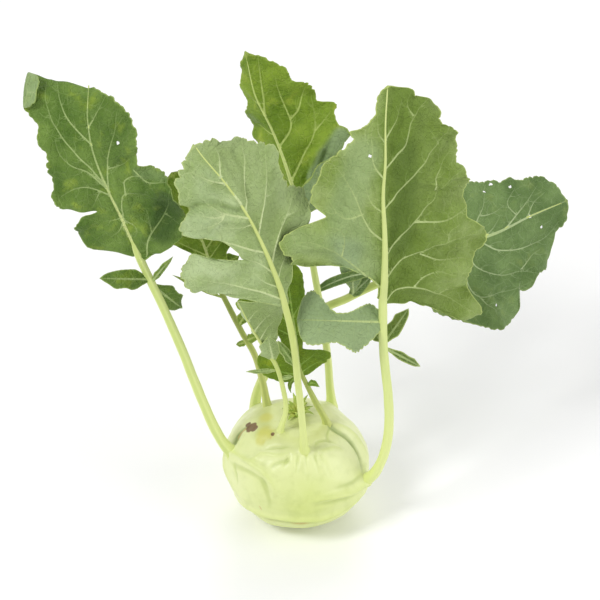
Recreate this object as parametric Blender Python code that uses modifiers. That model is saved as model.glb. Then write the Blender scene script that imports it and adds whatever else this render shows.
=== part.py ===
"""Kohlrabi: a swollen pale green stem with stalked leaves and a crown of young ones.

Metres, +Z up. The origin is the middle of the small flat that the bulb rests on. The leaf
that turns its underside outwards in front is on the -Y side.

Lengths in the tables below are real millimetres, and MM turns them into metres.
"""
import math
import random
from dataclasses import dataclass

import bmesh
import bpy
import numpy as np
from mathutils import Vector

MM = 0.001

# Bulb
BULB_RADIUS = 39.0
BULB_HALF_HEIGHT = 32.0
BULB_CENTRE_HEIGHT = 33.0
BULB_TOP_ROUNDNESS = 1.0
BULB_BASE_ROUNDNESS = 0.86
BULB_SHOULDER_DROP = 0.035
CROWN_DENT_DEPTH = 3.0
CROWN_DENT_RADIUS = 15.0
ROOT_RADIUS = 13.0
BULB_SEGMENTS = 56
BULB_RINGS = 34
BULB_LOPSIDEDNESS = 0.02

# Raised ridges on the bulb: (rise, half width, ((azimuth in degrees, height), ...))
BULB_RIDGES = (
    (2.2, 3.5, ((-165, 46), (-147, 45), (-133, 47), (-116, 47), (-107, 43), (-103, 35))),
    (2.2, 3.5, ((-22, 31), (-42, 39), (-56, 44), (-69, 44), (-80, 40))),
    (1.6, 3.0, ((-84, 60), (-106, 59), (-123, 57), (-131, 53))),
    (1.6, 3.0, ((-78, 60), (-57, 59), (-43, 57), (-32, 53))),
    (1.4, 3.0, ((-21, 62), (-2, 57), (-8, 49), (-18, 40))),
    (1.2, 4.0, ((-163, 56), (-150, 60), (-137, 62))),
    (1.5, 4.0, ((175, 46), (-174, 38), (-158, 30), (-140, 25))),
    (1.6, 3.5, ((55, 52), (75, 47), (100, 45), (122, 50))),
    (1.4, 3.5, ((130, 52), (150, 44), (158, 33))),
    (1.3, 4.0, ((-150, 13), (-110, 15), (-70, 15), (-30, 13), (20, 14), (80, 13), (140, 14), (-165, 13))),
    (-1.0, 2.5, ((-100, 55), (-98, 44))),
    (-1.0, 2.5, ((-82, 52), (-84, 42))),
    (-1.0, 2.5, ((-66, 54), (-68, 46))),
)

# Stalks, blades and sockets
STALK_STEP = 8.0
STALK_BEVEL_RESOLUTION = 2
STALK_SIDES = 8
BLADE_THICKNESS = 0.9
BLADE_COLUMNS = 4
WAVE_HEIGHT = 3.0
WAVE_FULL_AT = 36.0
WAVE_LENGTH = 31.0
WAVE_SHIFT = 1.3
DIRECTION_REACH = 3.0
FLARE_STEEP_TO = 12.0
FLARE_END = 26.0
LEAFLET_FACING = (0.0, -0.82, 0.57)
LEAFLET_ARCH = 0.12
LEAFLET_DROOP = 0.15
TOUCH_GAP = 0.3
SOCKET_REACH = 34.0
# The exact solver leaves open edges where thin blades cross, so these joins use the other one.
SOLVER = "MANIFOLD"

# Crown of young leaves
CROWN_PLACE = (0.5, 4.5)
CROWN_CORE_RADIUS = 4.2
CROWN_CORE_BOTTOM = 57.0
CROWN_CORE_TOP = 63.5
CROWN_LEAVES = 13
CROWN_LEAF_LENGTHS = (7.0, 15.0)
CROWN_LEAF_WIDTH = 1.7
CROWN_LEAN = (8.0, 42.0)
CROWN_TURN = 0.382
CROWN_SEED = 7
SHARP_ANGLE = 50.0

# Surface finishes: (colour, roughness)
PALE_SKIN = ((0.70, 0.78, 0.40), 0.45)
YOUNG_GREEN = ((0.42, 0.56, 0.14), 0.6)
DEEP_GREEN = ((0.10, 0.21, 0.05), 0.55)
BLUE_GREEN = ((0.16, 0.27, 0.13), 0.6)
GREY_GREEN = ((0.27, 0.38, 0.20), 0.65)

# Half outlines of the leaflets: (share of the length, share of the half width)
POINTED = ((0.0, 0.18), (0.18, 0.55), (0.36, 0.95), (0.52, 0.78), (0.68, 0.88), (0.84, 0.45), (1.0, 0.0))
BLUNT = ((0.0, 0.25), (0.15, 0.7), (0.33, 0.95), (0.52, 0.6), (0.68, 0.85), (0.82, 1.0), (0.94, 0.8),
         (1.0, 0.0))


@dataclass(frozen=True)
class Leaflet:
    """A small leaf on a stalk: the height it leaves the stalk at, its tip, its width and outline."""

    height: float
    tip: tuple
    width: float
    outline: tuple = POINTED


@dataclass(frozen=True)
class Leaf:
    """One stalked leaf.

    stalk: points from the foot in the bulb, up the stalk and along the midrib to its end.
    blade_from: number of the stalk point at which the blade begins.
    radii: radius at the foot, up the stalk, where the blade begins, and at the midrib's end.
    side: direction in which the right half of the blade points.
    fold: degrees by which the left and right halves lean to the front.
    rows: (midrib length, left reach, left rise, right reach, right rise). A row starts at that
    length along the midrib and ends at the edge, so far out and so far up from the blade's base.
    """

    stalk: tuple
    blade_from: int
    radii: tuple
    side: tuple
    fold: tuple
    rows: tuple
    finish: tuple
    leaflets: tuple = ()


LEAVES = {
    "leaf_front": Leaf(
        stalk=((5, -19, 53), (4, -24, 60), (3, -30, 81), (1, -36, 109), (-2, -42, 145), (-6, -45, 169),
               (-11, -46, 188), (-17, -46, 206), (-25, -46, 225), (-35, -44, 241), (-45, -38, 251),
               (-49, -33, 254)),
        blade_from=5,
        radii=(3.2, 2.4, 2.1, 0.7),
        side=(0.86, 0.51, 0.0),
        fold=(-6, -6),
        rows=((0, 3, 1, 3, 0), (3, 15, 12, 10, 2), (6, 28, 23, 17, 5), (9, 38, 33, 24, 10),
              (12, 44, 41, 28, 15), (15, 42, 50, 31, 22), (18, 34, 55, 33, 30), (21, 24, 46, 34, 38),
              (25, 12, 37, 33, 45), (31, 13, 42, 33, 50), (37, 16, 51, 27, 56), (43, 22, 60, 27, 61),
              (49, 30, 68, 29, 67), (55, 33, 74, 34, 72), (61, 29, 78, 32, 79), (67, 21, 80, 28, 85),
              (74, 24, 86, 25, 91), (81, 20, 92, 21, 96), (88, 12, 96, 19, 101), (95, 6, 100, 10, 103),
              (101, 0, 104, 0, 104)),
        finish=GREY_GREEN,
        leaflets=(Leaflet(125, (-10, -34, 139), 6),),
    ),
    "leaf_right": Leaf(
        stalk=((31, -13, 28), (36, -15, 31), (42, -19, 40), (47, -22, 56), (49, -24, 76), (48, -26, 98),
               (45, -28, 128), (44, -28, 160), (44, -24, 194), (43, -20, 218), (44, -15, 235),
               (45, -8, 252), (50, 2, 266)),
        blade_from=7,
        radii=(4.2, 2.7, 2.3, 0.7),
        side=(0.90, 0.44, 0.0),
        fold=(-4, -4),
        rows=((0, 3, 2, 3, -3), (3, 5, 6, 13, -5), (6, 7, 10, 22, -9), (9, 10, 14, 32, -16),
              (12, 13, 17, 39, -22), (16, 17, 21, 47, -29), (20, 24, 24, 53, -34),
              (24, 40, 28, 59, -32), (28, 53, 34, 57, -16), (32, 57, 43, 51, 2), (36, 53, 49, 53, 15),
              (40, 45, 53, 58, 25), (46, 32, 55, 54, 33), (52, 36, 60, 48, 39), (58, 39, 66, 47, 47),
              (65, 36, 74, 48, 60), (72, 29, 81, 45, 71), (80, 19, 87, 40, 78), (88, 15, 92, 40, 89),
              (96, 9, 97, 37, 100), (103, 6, 103, 28, 107), (109, 3, 110, 18, 113),
              (113, 0, 116, 0, 116)),
        finish=GREY_GREEN,
        leaflets=(Leaflet(147, (0, -38, 155), 27, BLUNT), Leaflet(133, (58, -14, 145), 9),
                  Leaflet(131, (65, -16, 109), 5), Leaflet(134, (36, -22, 139), 6)),
    ),
    "leaf_left": Leaf(
        stalk=((-28, -8, 37), (-33, -9, 43), (-41, -11, 56), (-50, -12, 82), (-61, -12, 119),
               (-71, -12, 149), (-78, -12, 168), (-81, -12, 177), (-89, -12, 200), (-97, -10, 221),
               (-102, -7, 237), (-104, -3, 252), (-104, 4, 260), (-104, 12, 263)),
        blade_from=7,
        radii=(4.0, 2.6, 1.9, 0.7),
        side=(0.95, -0.30, 0.0),
        fold=(6, 6),
        rows=((0, 3, 0, 4, -2), (4, 10, 4, 15, 2), (8, 20, 8, 25, 7), (12, 25, 13, 33, 13),
              (16, 28, 20, 37, 20), (20, 26, 25, 39, 28), (25, 17, 30, 38, 36), (30, 11, 31, 36, 45),
              (35, 20, 34, 30, 50), (40, 28, 39, 24, 54), (46, 30, 45, 25, 60), (52, 27, 51, 27, 66),
              (58, 27, 58, 27, 72), (64, 24, 65, 25, 77), (70, 27, 71, 22, 82), (76, 25, 78, 18, 86),
              (82, 27, 87, 13, 90), (87, 31, 94, 8, 93), (92, 34, 99, 5, 95), (97, 29, 107, 3, 97)),
        finish=DEEP_GREEN,
        leaflets=(Leaflet(162, (-101, -20, 168), 9), Leaflet(160, (-63, -16, 179), 4),
                  Leaflet(158, (-60, -4, 138), 13)),
    ),
    "leaf_back": Leaf(
        stalk=((18, 22, 43), (19, 27, 49), (18, 29, 63), (17, 33, 77), (14, 38, 101), (10, 43, 124),
               (6, 48, 146), (1, 52, 165), (-6, 58, 188), (-13, 63, 206), (-22, 68, 225),
               (-26, 72, 243)),
        blade_from=7,
        radii=(3.6, 2.3, 1.8, 0.6),
        side=(1.0, 0.0, 0.0),
        fold=(-52, 5),
        rows=((0, 4, -4, 5, -2), (5, 10, 0, 12, 3), (10, 16, 6, 20, 8), (15, 21, 13, 28, 14),
              (20, 24, 20, 34, 20), (26, 24, 28, 37, 27), (32, 20, 36, 38, 33), (38, 17, 43, 35, 40),
              (44, 17, 50, 37, 45), (50, 15, 57, 29, 50), (56, 10, 62, 30, 57), (62, 11, 69, 28, 64),
              (68, 8, 75, 21, 70), (74, 7, 81, 20, 77), (80, 4, 86, 13, 83), (85, 0, 91, 0, 91)),
        finish=DEEP_GREEN,
        leaflets=(Leaflet(160, (25, 48, 203), 17),),
    ),
    "leaf_far_right": Leaf(
        stalk=((-19, 23, 41), (-23, 27, 47), (-22, 30, 57), (-17, 34, 68), (-4, 42, 82), (14, 50, 99),
               (28, 54, 104), (41, 58, 109), (68, 64, 119), (95, 70, 130), (112, 78, 132),
               (129, 90, 134), (148, 104, 134)),
        blade_from=9,
        radii=(3.4, 2.0, 1.8, 0.6),
        side=(0.15, -0.50, -0.85),
        fold=(-22, -6),
        rows=((0, 6, -7, 9, -16), (4, 14, -8, 16, -27), (8, 22, -6, 25, -34), (12, 28, -1, 33, -28),
              (16, 32, 6, 41, -20), (20, 33, 13, 48, -10), (24, 32, 20, 51, 0), (28, 31, 27, 51, 11),
              (32, 26, 33, 40, 17), (37, 24, 39, 38, 25), (42, 23, 45, 34, 33), (47, 22, 51, 27, 42),
              (52, 19, 56, 21, 51), (57, 14, 60, 17, 58), (61, 7, 65, 10, 64), (65, 0, 69, 0, 69)),
        finish=BLUE_GREEN,
        leaflets=(Leaflet(101, (5, 46, 110), 7), Leaflet(103, (30, 52, 127), 12),
                  Leaflet(104, (41, 58, 116), 8)),
    ),
    "leaf_back_left": Leaf(
        stalk=((-14, 9, 54), (-16, 12, 60), (-19, 16, 76), (-23, 20, 90), (-30, 25, 102), (-38, 31, 117),
               (-45, 35, 132), (-49, 38, 147), (-56, 42, 166), (-61, 45, 178), (-64, 47, 184)),
        blade_from=6,
        radii=(3.0, 2.0, 1.6, 0.6),
        side=(0.97, 0.10, 0.0),
        fold=(6, 6),
        rows=((0, 3, 2, 4, 0), (5, 6, 10, 9, 5), (10, 8, 17, 11, 12), (15, 14, 24, 17, 17),
              (20, 18, 29, 24, 23), (25, 20, 34, 27, 29), (30, 20, 40, 26, 36), (35, 17, 45, 24, 42),
              (40, 16, 50, 21, 48), (45, 12, 55, 16, 53), (50, 8, 58, 11, 58), (54, 4, 61, 6, 61),
              (57, 0, 63, 0, 63)),
        finish=DEEP_GREEN,
        leaflets=(Leaflet(98, (-20, 18, 105), 6), Leaflet(97, (-33, 24, 94), 4),
                  Leaflet(135, (-31, 42, 140), 9), Leaflet(119, (-67, 30, 136), 3),
                  Leaflet(105, (-24, 26, 121), 7)),
    ),
    "leaf_inner_left": Leaf(
        stalk=((-9, -11, 56), (-9, -12, 63), (-6, -12, 76), (-7, -13, 90), (-11, -15, 109),
               (-16, -17, 120), (-20, -19, 129), (-25, -21, 141), (-30, -23, 155)),
        blade_from=5,
        radii=(2.2, 1.6, 1.3, 0.6),
        side=(0.95, 0.10, 0.20),
        fold=(-75, 4),
        rows=((0, 2, 1, 2, 0), (5, 6, 6, 9, 6), (10, 9, 12, 12, 12), (15, 11, 17, 16, 17),
              (20, 12, 22, 19, 22), (25, 11, 27, 21, 27), (30, 9, 31, 16, 31), (34, 5, 35, 9, 35),
              (38, 0, 39, 0, 39)),
        finish=GREY_GREEN,
        leaflets=(Leaflet(113, (-15, -19, 131), 13), Leaflet(105, (-27, -18, 107), 3),
                  Leaflet(100, (-2, -14, 101), 3)),
    ),
    "leaf_inner_right": Leaf(
        stalk=((15, -4, 55), (16, -4, 62), (10, -6, 78), (3, -7, 96), (1, -6, 103), (0, -3, 113),
               (-2, 1, 128), (-4, 6, 143), (-5, 10, 154)),
        blade_from=3,
        radii=(2.3, 1.6, 1.3, 0.6),
        side=(0.98, 0.0, 0.0),
        fold=(8, 8),
        rows=((0, 5, -1, 5, -1), (4, 13, 2, 12, 2), (8, 20, 7, 17, 7), (12, 22, 13, 19, 13),
              (16, 16, 18, 13, 18), (20, 8, 21, 5, 20), (25, 10, 27, 7, 26), (30, 16, 33, 9, 33),
              (35, 24, 39, 11, 40), (40, 29, 46, 12, 47), (45, 22, 50, 11, 52), (50, 14, 54, 9, 57),
              (55, 8, 59, 6, 61), (60, 0, 66, 0, 66)),
        finish=DEEP_GREEN,
        leaflets=(Leaflet(90, (12, -10, 91), 4), Leaflet(89, (-3, -9, 81), 3)),
    ),
}


def clear_scene():
    """Remove what the scene holds."""
    for thing in list(bpy.data.objects):
        bpy.data.objects.remove(thing, do_unlink=True)


def new_collection(name):
    """Add a collection to the scene."""
    collection = bpy.data.collections.new(name)
    bpy.context.scene.collection.children.link(collection)
    return collection


def new_object(name, mesh, collection):
    """Put a mesh in the scene as an object."""
    thing = bpy.data.objects.new(name, mesh)
    collection.objects.link(thing)
    return thing


def dress(thing, finish):
    """Give an object its Principled material."""
    colour, roughness = finish
    material = bpy.data.materials.new(thing.name)
    material.use_nodes = True
    shader = material.node_tree.nodes["Principled BSDF"]
    shader.inputs["Base Color"].default_value = (*colour, 1.0)
    shader.inputs["Roughness"].default_value = roughness
    shader.inputs["Metallic"].default_value = 0.0
    thing.data.materials.clear()
    thing.data.materials.append(material)


def settle(thing):
    """Replace an object's mesh by what its modifiers make of it."""
    bpy.context.view_layer.update()
    evaluated = thing.evaluated_get(bpy.context.evaluated_depsgraph_get())
    mesh = bpy.data.meshes.new_from_object(evaluated)
    thing.modifiers.clear()
    thing.data = mesh


def boolean(thing, operation, others):
    """Cut or join an object with every object of a collection, and apply the result."""
    modifier = thing.modifiers.new(operation.lower(), "BOOLEAN")
    modifier.operation = operation
    modifier.operand_type = "COLLECTION"
    modifier.collection = others
    modifier.solver = SOLVER
    settle(thing)


def smooth_path(points, step):
    """Points about a step apart on a smooth curve through the given points."""
    knots = np.array(points, dtype=float)
    chord = np.concatenate([[0.0], np.cumsum(np.linalg.norm(np.diff(knots, axis=0), axis=1))])
    slopes = np.empty_like(knots)
    slopes[1:-1] = (knots[2:] - knots[:-2]) / (chord[2:] - chord[:-2])[:, None]
    slopes[0] = (knots[1] - knots[0]) / chord[1]
    slopes[-1] = (knots[-1] - knots[-2]) / (chord[-1] - chord[-2])
    count = max(2, int(round(chord[-1] / step)) + 1)
    where = np.linspace(0.0, chord[-1], count)
    span = np.clip(np.searchsorted(chord, where, side="right") - 1, 0, len(knots) - 2)
    width = (chord[span + 1] - chord[span])[:, None]
    u = (where[:, None] - chord[span][:, None]) / width
    start = (2 * u**3 - 3 * u**2 + 1) * knots[span] + (u**3 - 2 * u**2 + u) * width * slopes[span]
    end = (3 * u**2 - 2 * u**3) * knots[span + 1] + (u**3 - u**2) * width * slopes[span + 1]
    return start + end


def lengths_along(path):
    """Distance of each point of a path from its start."""
    return np.concatenate([[0.0], np.cumsum(np.linalg.norm(np.diff(path, axis=0), axis=1))])


class Midrib:
    """The smooth line of a leaf, with the frame that carries its blade."""

    def __init__(self, points, blade_from, side, fold):
        self.path = smooth_path(points, 1.0)
        self.lengths = lengths_along(self.path)
        nearest = np.linalg.norm(self.path - np.array(points[blade_from]), axis=1).argmin()
        self.start = self.lengths[nearest]
        self.side = np.array(side, dtype=float)
        self.fold = [math.radians(angle) for angle in fold]

    def at(self, length):
        """Point of the line at a length from the foot."""
        return np.array([np.interp(length, self.lengths, self.path[:, axis]) for axis in range(3)])

    def place(self, across, along):
        """Point of the blade, so far across and so far up from its base, in millimetres."""
        length = self.start + along
        held = min(max(length, 0.0), self.lengths[-1])
        behind = max(held - DIRECTION_REACH, 0.0)
        ahead = min(held + DIRECTION_REACH, self.lengths[-1])
        forward = self.at(ahead) - self.at(behind)
        forward /= np.linalg.norm(forward)
        side = self.side - self.side.dot(forward) * forward
        side /= np.linalg.norm(side)
        front = np.cross(side, forward)
        fold = self.fold[1] if across > 0 else self.fold[0]
        out = abs(across)
        phase = 2.0 * math.pi * along / WAVE_LENGTH + (WAVE_SHIFT if across > 0 else 0.0)
        wave = WAVE_HEIGHT * min(out / WAVE_FULL_AT, 1.0) ** 2 * math.sin(phase)
        lift = out * math.sin(fold) + wave
        return self.at(held) + (length - held) * forward + across * math.cos(fold) * side + lift * front


def rounded_bar(name, path, radii, collection):
    """A tube of changing radius along a path, with filled ends, as a closed mesh."""
    curve = bpy.data.curves.new(name, "CURVE")
    curve.dimensions = "3D"
    curve.bevel_depth = MM
    curve.bevel_resolution = STALK_BEVEL_RESOLUTION
    curve.use_fill_caps = True
    spline = curve.splines.new("POLY")
    spline.points.add(len(path) - 1)
    for point, place, radius in zip(spline.points, path, radii):
        point.co = (*(place * MM), 1.0)
        point.radius = radius
    guide = new_object(name + "_guide", curve, collection)
    bpy.context.view_layer.update()
    evaluated = guide.evaluated_get(bpy.context.evaluated_depsgraph_get())
    mesh = bpy.data.meshes.new_from_object(evaluated)
    work = bmesh.new()
    work.from_mesh(mesh)
    bmesh.ops.remove_doubles(work, verts=work.verts, dist=0.00001)
    bmesh.ops.recalc_face_normals(work, faces=work.faces)
    work.to_mesh(mesh)
    work.free()
    bar = new_object(name, mesh, collection)
    bar.matrix_world = guide.matrix_world
    bpy.data.objects.remove(guide, do_unlink=True)
    return bar


def stalk_radii(path, leaf, blade_start):
    """Radius of a leaf's stalk at each point: flared at the foot, slender at the tip."""
    foot, stalk, base, tip = leaf.radii
    lengths = lengths_along(path)
    marks = (0.0, FLARE_STEEP_TO, FLARE_END, blade_start, lengths[-1])
    return np.interp(lengths, marks, (foot, 0.4 * foot + 0.6 * stalk, stalk, base, tip))


def sheet(name, place, rows, columns, collection):
    """A thin solid blade whose rows run from the left edge over the midrib to the right edge."""
    work = bmesh.new()
    grid = []
    for station, left_reach, left_rise, right_reach, right_rise in rows:
        line = []
        for step in range(-columns, columns + 1):
            share = abs(step) / columns
            reach, rise = (left_reach, left_rise) if step < 0 else (right_reach, right_rise)
            across = math.copysign(share * reach, step)
            along = station + share * (rise - station)
            line.append(work.verts.new(Vector(place(across, along)) * MM))
        grid.append(line)
    for lower, upper in zip(grid, grid[1:]):
        for step in range(2 * columns):
            a, b, c, d = lower[step], lower[step + 1], upper[step + 1], upper[step]
            if step < columns:
                work.faces.new((a, b, c))
                work.faces.new((a, c, d))
            else:
                work.faces.new((a, b, d))
                work.faces.new((b, c, d))
    bmesh.ops.remove_doubles(work, verts=work.verts, dist=0.00005)
    mesh = bpy.data.meshes.new(name)
    work.to_mesh(mesh)
    work.free()
    blade = new_object(name, mesh, collection)
    solid = blade.modifiers.new("thickness", "SOLIDIFY")
    solid.thickness = BLADE_THICKNESS * MM
    solid.offset = 0.0
    settle(blade)
    return blade


def leaflet_sheet(name, midrib, leaflet, collection):
    """A small pointed leaf that springs from the stalk at a given height."""
    lowest = np.abs(midrib.path[:, 2] - leaflet.height).argmin()
    root = midrib.path[lowest]
    tip = np.array(leaflet.tip, dtype=float)
    forward = tip - root
    length = np.linalg.norm(forward)
    forward /= length
    side = np.cross(forward, np.array(LEAFLET_FACING))
    side /= np.linalg.norm(side)
    front = np.cross(side, forward)

    def place(across, along):
        arch = LEAFLET_ARCH * length * math.sin(math.pi * along / length)
        lift = arch - LEAFLET_DROOP * abs(across)
        return root + along * forward + across * side + lift * front

    rows = []
    for share, width in leaflet.outline:
        reach = 0.5 * leaflet.width * width
        rows.append((share * length, reach, share * length, reach, share * length))
    return sheet(name, place, rows, 1, collection)


def build_leaf(name, leaf, collection):
    """One leaf: stalk, midrib, blade and leaflets grown together."""
    midrib = Midrib(leaf.stalk, leaf.blade_from, leaf.side, leaf.fold)
    path = smooth_path(leaf.stalk, STALK_STEP)
    thing = rounded_bar(name, path, stalk_radii(path, leaf, midrib.start), collection)
    pieces = new_collection(name + "_pieces")
    sheet(name + "_blade", midrib.place, leaf.rows, BLADE_COLUMNS, pieces)
    for number, leaflet in enumerate(leaf.leaflets):
        leaflet_sheet(f"{name}_leaflet_{number}", midrib, leaflet, pieces)
    boolean(thing, "UNION", pieces)
    remove_collection(pieces)
    dress(thing, leaf.finish)
    return thing


def remove_collection(collection):
    """Remove a collection and the objects in it."""
    for thing in list(collection.objects):
        bpy.data.objects.remove(thing, do_unlink=True)
    bpy.data.collections.remove(collection)


def bulb_skin(azimuth, lift):
    """Point of the plain bulb, before its ridges, for an azimuth and a lift in radians."""
    roundness = BULB_TOP_ROUNDNESS if lift > 0 else BULB_BASE_ROUNDNESS
    level = math.copysign(abs(math.sin(lift)) ** roundness, lift)
    radius = BULB_RADIUS * math.cos(lift) ** roundness
    radius *= 1.0 + BULB_LOPSIDEDNESS * math.cos(2.0 * azimuth + 0.6)
    radius *= 1.0 - BULB_SHOULDER_DROP * math.sin(lift) * math.cos(azimuth)
    height = BULB_CENTRE_HEIGHT + BULB_HALF_HEIGHT * level
    if lift > 0:
        height -= CROWN_DENT_DEPTH * math.exp(-((radius / CROWN_DENT_RADIUS) ** 2))
    return np.array((radius * math.cos(azimuth), radius * math.sin(azimuth), height))


def ridge_line(marks):
    """Points of a ridge on the plain bulb, from its azimuths and heights."""
    line = []
    for azimuth, height in marks:
        level = (height - BULB_CENTRE_HEIGHT) / BULB_HALF_HEIGHT
        level = min(max(level, -0.999), 0.999)
        roundness = BULB_TOP_ROUNDNESS if level > 0 else BULB_BASE_ROUNDNESS
        lift = math.asin(math.copysign(abs(level) ** (1.0 / roundness), level))
        line.append(bulb_skin(math.radians(azimuth), lift))
    return np.array(line)


def distance_to_line(point, line):
    """Shortest distance from a point to a line of straight stretches."""
    starts, spans = line[:-1], np.diff(line, axis=0)
    shares = ((point - starts) * spans).sum(axis=1) / (spans * spans).sum(axis=1)
    nearest = starts + np.clip(shares, 0.0, 1.0)[:, None] * spans
    return np.linalg.norm(point - nearest, axis=1).min()


def build_bulb(collection):
    """The swollen stem, with the ridges that run down from its leaf stalks and a cut root."""
    work = bmesh.new()
    bmesh.ops.create_uvsphere(work, u_segments=BULB_SEGMENTS, v_segments=BULB_RINGS, radius=1.0)
    lines = [(rise, width, ridge_line(marks)) for rise, width, marks in BULB_RIDGES]
    centre = np.array((0.0, 0.0, BULB_CENTRE_HEIGHT))
    for vert in work.verts:
        azimuth = math.atan2(vert.co.y, vert.co.x)
        lift = math.asin(max(-1.0, min(1.0, vert.co.z)))
        point = bulb_skin(azimuth, lift)
        outward = (point - centre) / np.linalg.norm(point - centre)
        for rise, width, line in lines:
            point = point + outward * rise * math.exp(-((distance_to_line(point, line) / width) ** 2))
        if lift < 0 and math.hypot(point[0], point[1]) < ROOT_RADIUS:
            point[2] = 0.0
        vert.co = Vector(point) * MM
    mesh = bpy.data.meshes.new("bulb")
    work.to_mesh(mesh)
    work.free()
    return new_object("bulb", mesh, collection)


def build_crown(collection):
    """A core in the bulb's top with a ring of small pointed young leaves."""
    draw = random.Random(CROWN_SEED)
    x, y = CROWN_PLACE
    core = rounded_bar("crown", np.array(((x, y, CROWN_CORE_BOTTOM), (x, y, CROWN_CORE_TOP))),
                       (CROWN_CORE_RADIUS, 0.7 * CROWN_CORE_RADIUS), collection)
    pieces = new_collection("crown_pieces")
    for number in range(CROWN_LEAVES):
        azimuth = 2.0 * math.pi * number * CROWN_TURN + draw.uniform(-0.2, 0.2)
        lean = math.radians(draw.uniform(*CROWN_LEAN))
        length = draw.uniform(*CROWN_LEAF_LENGTHS)
        away = np.array((math.cos(azimuth), math.sin(azimuth), 0.0))
        start = np.array((x, y, CROWN_CORE_TOP - 2.5)) + 0.3 * CROWN_CORE_RADIUS * away
        steps = []
        for share in (0.0, 0.35, 0.7, 1.0):
            bend = lean * (0.4 + 0.9 * share)
            rise = np.array((0.0, 0.0, math.cos(bend)))
            steps.append(start + share * length * (math.sin(bend) * away + rise))
        radii = (0.8, CROWN_LEAF_WIDTH / 2.0 + 0.2, CROWN_LEAF_WIDTH / 2.0, 0.35)
        rounded_bar(f"crown_leaf_{number}", np.array(steps), radii, pieces)
    boolean(core, "UNION", pieces)
    remove_collection(pieces)
    dress(core, YOUNG_GREEN)
    return core


def cut_sockets(bulb):
    """Holes in the bulb in which the leaf stalks and the crown sit, a touch wider than they are."""
    cutters = new_collection("sockets")
    widen = 1.0 / math.cos(math.pi / STALK_SIDES)
    for name, leaf in LEAVES.items():
        midrib = Midrib(leaf.stalk, leaf.blade_from, leaf.side, leaf.fold)
        path = smooth_path(leaf.stalk, STALK_STEP)
        radii = stalk_radii(path, leaf, midrib.start)
        last = int(SOCKET_REACH / STALK_STEP) + 1
        forward = (path[1] - path[0]) / np.linalg.norm(path[1] - path[0])
        deeper = np.concatenate([[path[0] - 2.0 * TOUCH_GAP * forward], path[1:last]])
        cutter = rounded_bar("socket_" + name, deeper, (radii[:last] + TOUCH_GAP) * widen, cutters)
        cutter.hide_render = True
        cutter.display_type = "WIRE"
    x, y = CROWN_PLACE
    low = CROWN_CORE_BOTTOM - 2.0 * TOUCH_GAP
    socket = rounded_bar("socket_crown", np.array(((x, y, low), (x, y, 2.0 * BULB_CENTRE_HEIGHT + 10.0))),
                         ((CROWN_CORE_RADIUS + TOUCH_GAP) * widen,) * 2, cutters)
    socket.hide_render = True
    socket.display_type = "WIRE"
    boolean(bulb, "DIFFERENCE", cutters)
    dress(bulb, PALE_SKIN)


def main():
    """Build the kohlrabi."""
    clear_scene()
    parts = new_collection("kohlrabi")
    bulb = build_bulb(parts)
    cut_sockets(bulb)
    build_crown(parts)
    for name, leaf in LEAVES.items():
        build_leaf(name, leaf, parts)
    for thing in parts.objects:
        thing.data.shade_smooth()
        thing.data.set_sharp_from_angle(angle=math.radians(SHARP_ANGLE))


main()
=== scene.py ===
"""Looks of the kohlrabi: its skin, its stalks and its veined leaves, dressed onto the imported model.

Lengths in the tables are real millimetres, and MM turns them into metres. A leaf is drawn flat first:
each of its points is so far across from the midrib and so far along from the foot of the blade.
"""
import logging
import math
import random
from dataclasses import dataclass, field
from enum import Enum

import bpy
import numpy as np
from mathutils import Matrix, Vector


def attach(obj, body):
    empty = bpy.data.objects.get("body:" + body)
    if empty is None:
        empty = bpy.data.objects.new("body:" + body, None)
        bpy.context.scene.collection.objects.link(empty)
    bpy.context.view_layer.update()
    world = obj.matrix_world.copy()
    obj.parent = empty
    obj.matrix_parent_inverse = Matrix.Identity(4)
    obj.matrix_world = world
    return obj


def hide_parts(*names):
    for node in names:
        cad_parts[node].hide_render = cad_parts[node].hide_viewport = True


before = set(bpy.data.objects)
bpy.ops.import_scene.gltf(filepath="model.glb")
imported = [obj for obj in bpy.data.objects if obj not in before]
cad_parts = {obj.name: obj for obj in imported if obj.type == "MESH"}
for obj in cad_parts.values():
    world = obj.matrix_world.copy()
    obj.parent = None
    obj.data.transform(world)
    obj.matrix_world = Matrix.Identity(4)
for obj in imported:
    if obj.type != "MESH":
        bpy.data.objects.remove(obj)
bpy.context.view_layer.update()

MM = 0.001
LOG = logging.getLogger("kohlrabi")

Line = tuple[tuple[float, ...], ...]
Colour = tuple[float, float, float]


class Face(Enum):
    """Which side of a leaf looks the way that its folds lift."""

    UPPER = 1.0
    UNDER = -1.0


def seen(red: int, green: int, blue: int) -> Colour:
    """Colour from how it shows on a screen, each part from 0 to 255."""
    return tuple(((part / 255.0 + 0.055) / 1.055) ** 2.4 for part in (red, green, blue))


# Camera
CAMERA_ELEVATION = 35.0
CAMERA_DISTANCE = 1300.0
CAMERA_AIM = (1.65, 0.0, 140.5)
CAMERA_LENS = 148.7
TO_VIEWER = (0.0, -0.82, 0.57)

# Bulb
BULB_RADIUS = 39.0
BULB_HALF_HEIGHT = 32.0
BULB_CENTRE_HEIGHT = 33.0
BULB_MERGE = 0.001

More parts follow.
